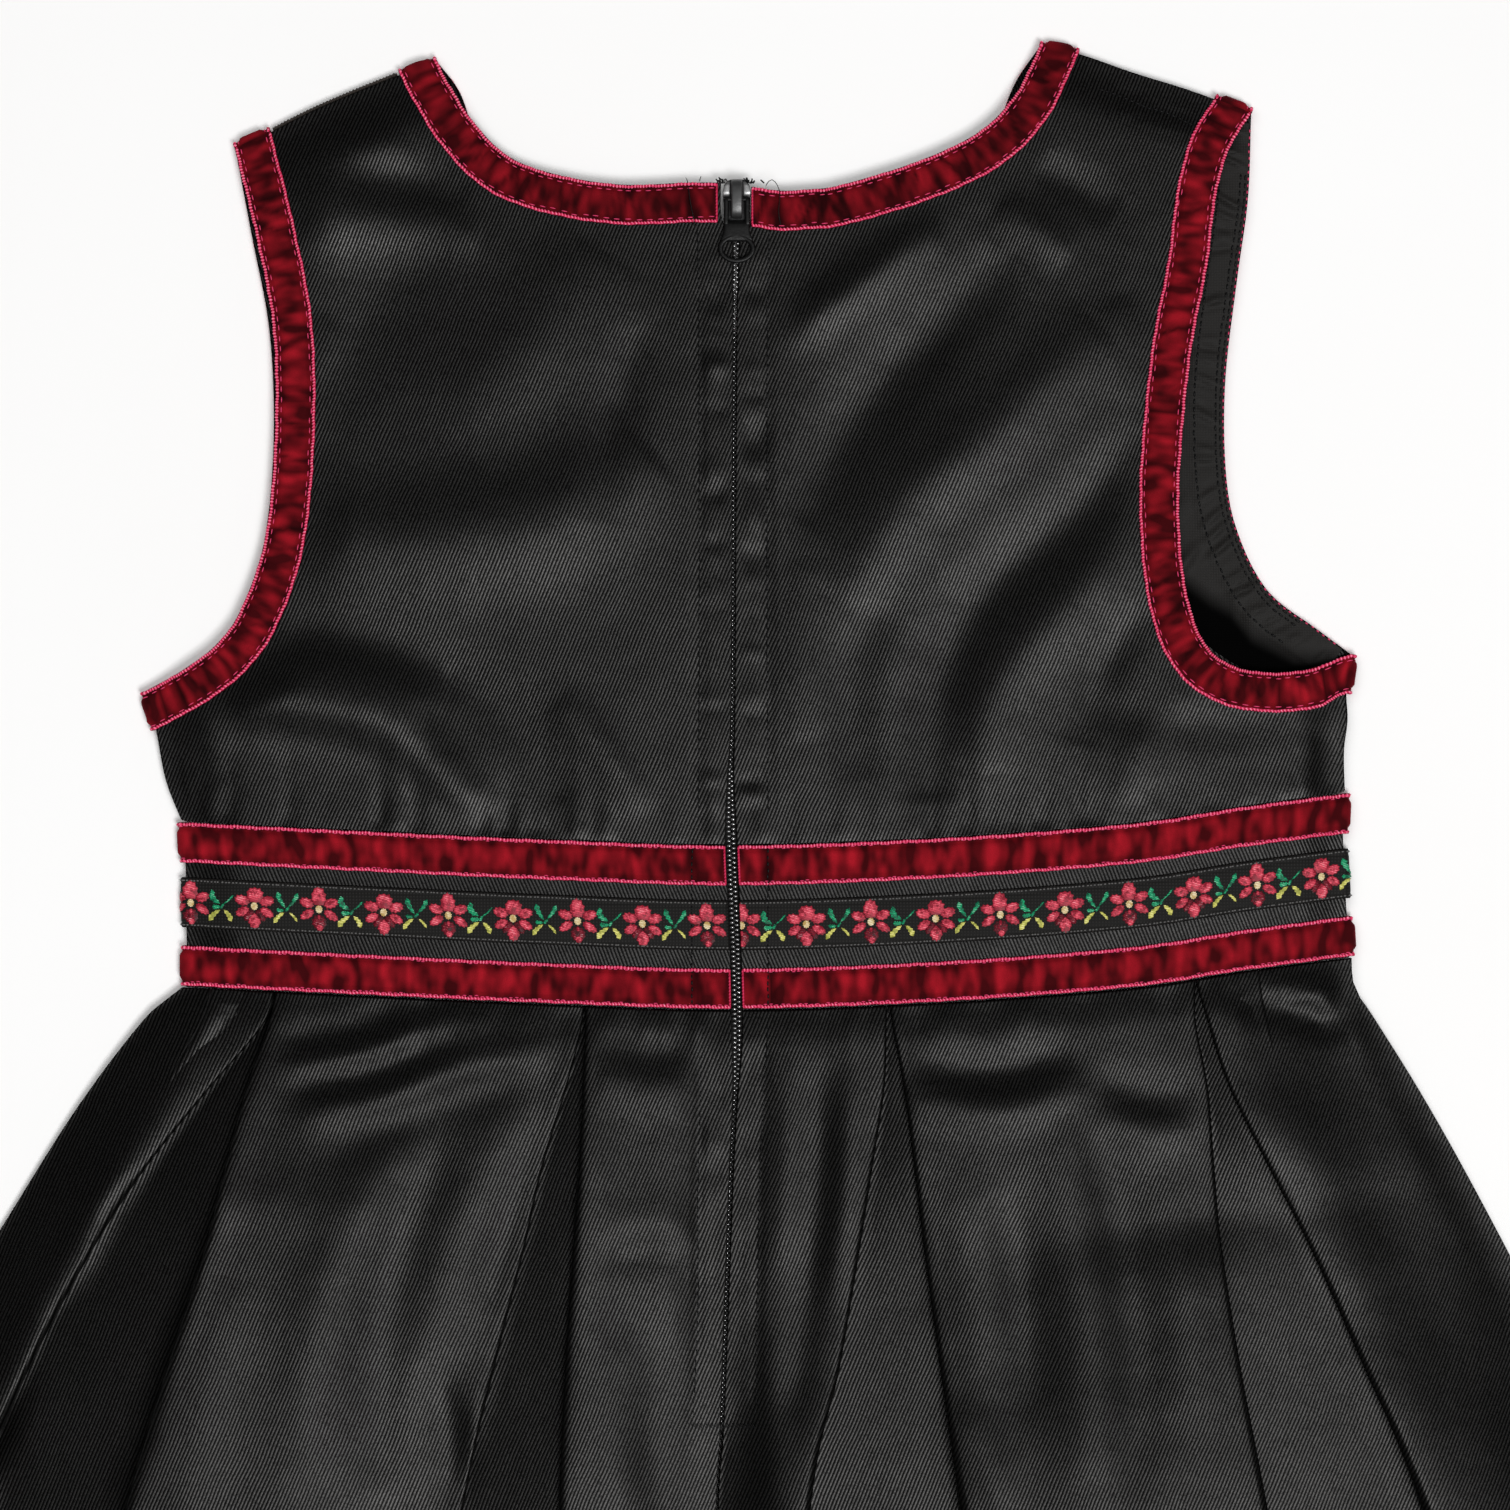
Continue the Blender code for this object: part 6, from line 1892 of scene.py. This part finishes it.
def sew_bar_tack():
    """Bar tack across the zip's end: one thread, up and down by turns."""
    x = np.linspace(*BAR_TACK_X, BAR_TACK_POINTS)
    y = BAR_TACK_Y + 0.55 * (-1.0) ** np.arange(BAR_TACK_POINTS)
    line = points_at(x, y, resting(SKIRT_BACKS, x, y) + 0.12)
    tack = one_tube(line, np.full(BAR_TACK_POINTS, 0.2), BAR_TACK_SIDES)
    threads("bar_tack_stitches", [tack], BLACK_THREAD)


def sew_shoulder_edge():
    """Overcast edge of the left shoulder seam: a thick thread, its radius a mean plus a
    cosine of the way along."""
    line = spline(SHOULDER_LEFT, 400)
    run = run_along(line)
    line = line[(run > OVERCAST_CLEAR[0]) & (run < run[-1] - OVERCAST_CLEAR[1])] + (-0.15, 0.45)
    size = 0.55 + 0.12 * np.cos(2 * math.pi * run_along(line) / OVERCAST_PITCH)
    size[[0, -1]] = 0.05
    centre = points_at(*line.T, FRONT + SOLID_WALL)
    threads("shoulder_edge_left", [one_tube(centre, size, OVERCAST_SIDES)], OVERCAST)


def sew_waist():
    """A row of stitches down the waistband on each side of the zip, over the ribbons."""
    rows = []
    for band, x in WAIST_ROWS:
        xs = np.full(len(WAIST_ROW_Y), x)
        covers = [top_of(LAID_OUT[name], xs, WAIST_ROW_Y) for name in [band] + WAIST_RIBBONS]
        path = points_at(x, WAIST_ROW_Y, np.max(covers, axis=0))
        rows.append(dashes(path, upright(path), pitch=1.6, length=1.25, radius=0.24, rise=0.1,
                           seed=int(abs(x))))
    threads("waist_cross_stitches", rows, BLACK_THREAD)


def sew_lining():
    """Rows of stitches on the armhole's lining, and pink ones along its edge."""
    lining = ["lining_of_right_armhole"]
    rows = [sewn_on(lining, in_from_armhole(away)[8:-8], seed=seed, pitch=2.0, length=1.5,
                    radius=0.27) for away, seed in ARMHOLE_ROWS]
    threads("lining_stitches", rows, BLACK_THREAD)
    edge = sewn_on(lining, in_from_armhole(0.4)[2:-2], seed=10, pitch=1.7, length=0.8,
                   radius=0.2)
    threads("front_armhole_edge_stitches", [edge], PINK_STITCH)


def sew_hem():
    """A row of stitches round the skirt above its edge: on the back panels' upper faces, and
    on the front panel's lower face."""
    rows = []
    for name in SKIRT_BACKS:
        grid = LAID_OUT[name]
        at = int(HEM_SHARE * (len(grid) - 1))
        rows.append(dashes(grid[at], up_normals(grid)[at], pitch=3.0, length=2.2, radius=0.14,
                           seed=12))
    grid = LAID_OUT["satin_skirt_front"]
    row = grid[int(HEM_SHARE * (len(grid) - 1))]
    rows.append(dashes(row, upright(row, -1.0), pitch=3.0, length=2.2, radius=0.1, rise=0.06,
                       seed=13))
    threads("hem_stitches", rows, BLACK_THREAD)


def loose_thread(points, radius):
    """A thread end that lies loose: a round thread along a spline in space."""
    points = np.array(points)
    high = np.interp(np.linspace(0, 1, THREAD_RINGS), np.linspace(0, 1, len(points)), points[:, 2])
    line = points_at(*spline(points[:, :2], THREAD_RINGS).T, high)
    size = np.full(THREAD_RINGS, radius)
    size[[0, -1]] = 0.01
    return one_tube(line, size, CORD_SIDES)


def sew_neck_tacks():
    """Thread ends at the neck: a few long ones, and two tufts of short ones whose roots and
    tips are drawn at random."""
    ends = [loose_thread(points, radius) for radius, points in LOOSE_ENDS]
    random = np.random.default_rng(17)
    for middle in TACKS_X:
        for x in middle + random.uniform(-1.3, 1.3, TACK_ENDS):
            root = np.array([x, 276.0, 4.6])
            tip = root + (random.normal(0, 0.5), random.uniform(0.6, 1.7), random.normal(0.4, 0.3))
            ends.append(loose_thread([root, (root + tip) / 2 + (0.15, 0, 0.2), tip], 0.17))
    threads("neck_tack_threads", ends, BLACK_THREAD)


def build_sewing():
    """All that is sewn on the panels and ribbons."""
    sew_placket()
    sew_bar_tack()
    sew_shoulder_edge()
    sew_waist()
    sew_lining()
    sew_hem()
    sew_neck_tacks()


# ------------ floor, light and camera

VIEW_X, VIEW_Y = 5.0, 133.1  # what the camera looks straight down at
FIELD = 377.5  # width of the view on the garment
LENS, SENSOR = 135.0, 36.0
GARMENT_TOP = 5.0  # height of its upper face
FLOOR_HALF, FLOOR_Z = 3000.0, -0.2
SKY_STRENGTH = 0.07
LIT_PLACE = (0, 0.1, 0)  # in metres
SQUARE = np.array([(-1.0, -1.0), (1.0, -1.0), (1.0, 1.0), (-1.0, 1.0)])


def build_stage():
    """White paper under the garment: one square, almost even in colour."""
    corners = points_at(*SQUARE.T * FLOOR_HALF, FLOOR_Z)
    floor_mesh = mesh_from("floor", corners, np.array([(0, 1, 2, 3)]))
    paper, tree, shader = started("white paper", Roughness=0.9)
    shade = mixed(tree, noise(tree, place(tree), 4, 3), (0.86, 0.85, 0.84, 1), (0.9, 0.9, 0.9, 1))
    tree.links.new(shade, shader.inputs["Base Color"])
    floor_mesh.materials.append(paper)
    floor = bpy.data.objects.new("floor", floor_mesh)
    bpy.context.scene.collection.objects.link(floor)


def area_light(name, size, power, spot):
    """Square white light at a spot, in metres. Its -Z is turned to the garment: pitch from
    the drop, then yaw."""
    data = bpy.data.lights.new(name, "AREA")
    data.shape = "SQUARE"
    data.size = size
    data.energy = power
    made = bpy.data.objects.new(name, data)
    bpy.context.scene.collection.objects.link(made)
    made.location = spot
    dx, dy, dz = (a - s for a, s in zip(LIT_PLACE, spot))
    made.rotation_euler = (math.atan2(math.hypot(dx, dy), -dz), 0,
                           math.atan2(dy, dx) - math.pi / 2)
    return made


def build_camera():
    """Camera straight above the garment: its height is the view's width times the focal
    length over the sensor's width, above the garment's upper face."""
    data = bpy.data.cameras.new("camera")
    data.lens, data.sensor_width = LENS, SENSOR
    data.clip_start = 0.01
    made = bpy.data.objects.new("camera", data)
    bpy.context.scene.collection.objects.link(made)
    made.location = (VIEW_X * MM, VIEW_Y * MM, (FIELD * LENS / SENSOR + GARMENT_TOP) * MM)
    bpy.context.scene.camera = made


def build_light():
    """Soft studio light: a key from the right beyond the hem, a broad fill from the left
    beyond the neck that gives no highlights, and a faint even sky."""
    world = bpy.data.worlds.new("studio")
    world.use_nodes = True
    sky = world.node_tree.nodes["Background"]
    sky.inputs["Color"].default_value = (1.0, 1.0, 1.0, 1)
    sky.inputs["Strength"].default_value = SKY_STRENGTH
    bpy.context.scene.world = world
    area_light("key", 1.0, 63.0, (0.62, -0.78, 2.85))
    fill = area_light("fill", 2.6, 45.0, (-0.4, 0.9, 2.6))
    fill.visible_glossy = False
    bpy.context.scene.view_settings.view_transform = "Standard"


build_bodice()
build_waistband()
build_skirt()
build_ribbons()
build_flower_ribbon()
build_zip()
build_sewing()
build_stage()
build_light()
build_camera()
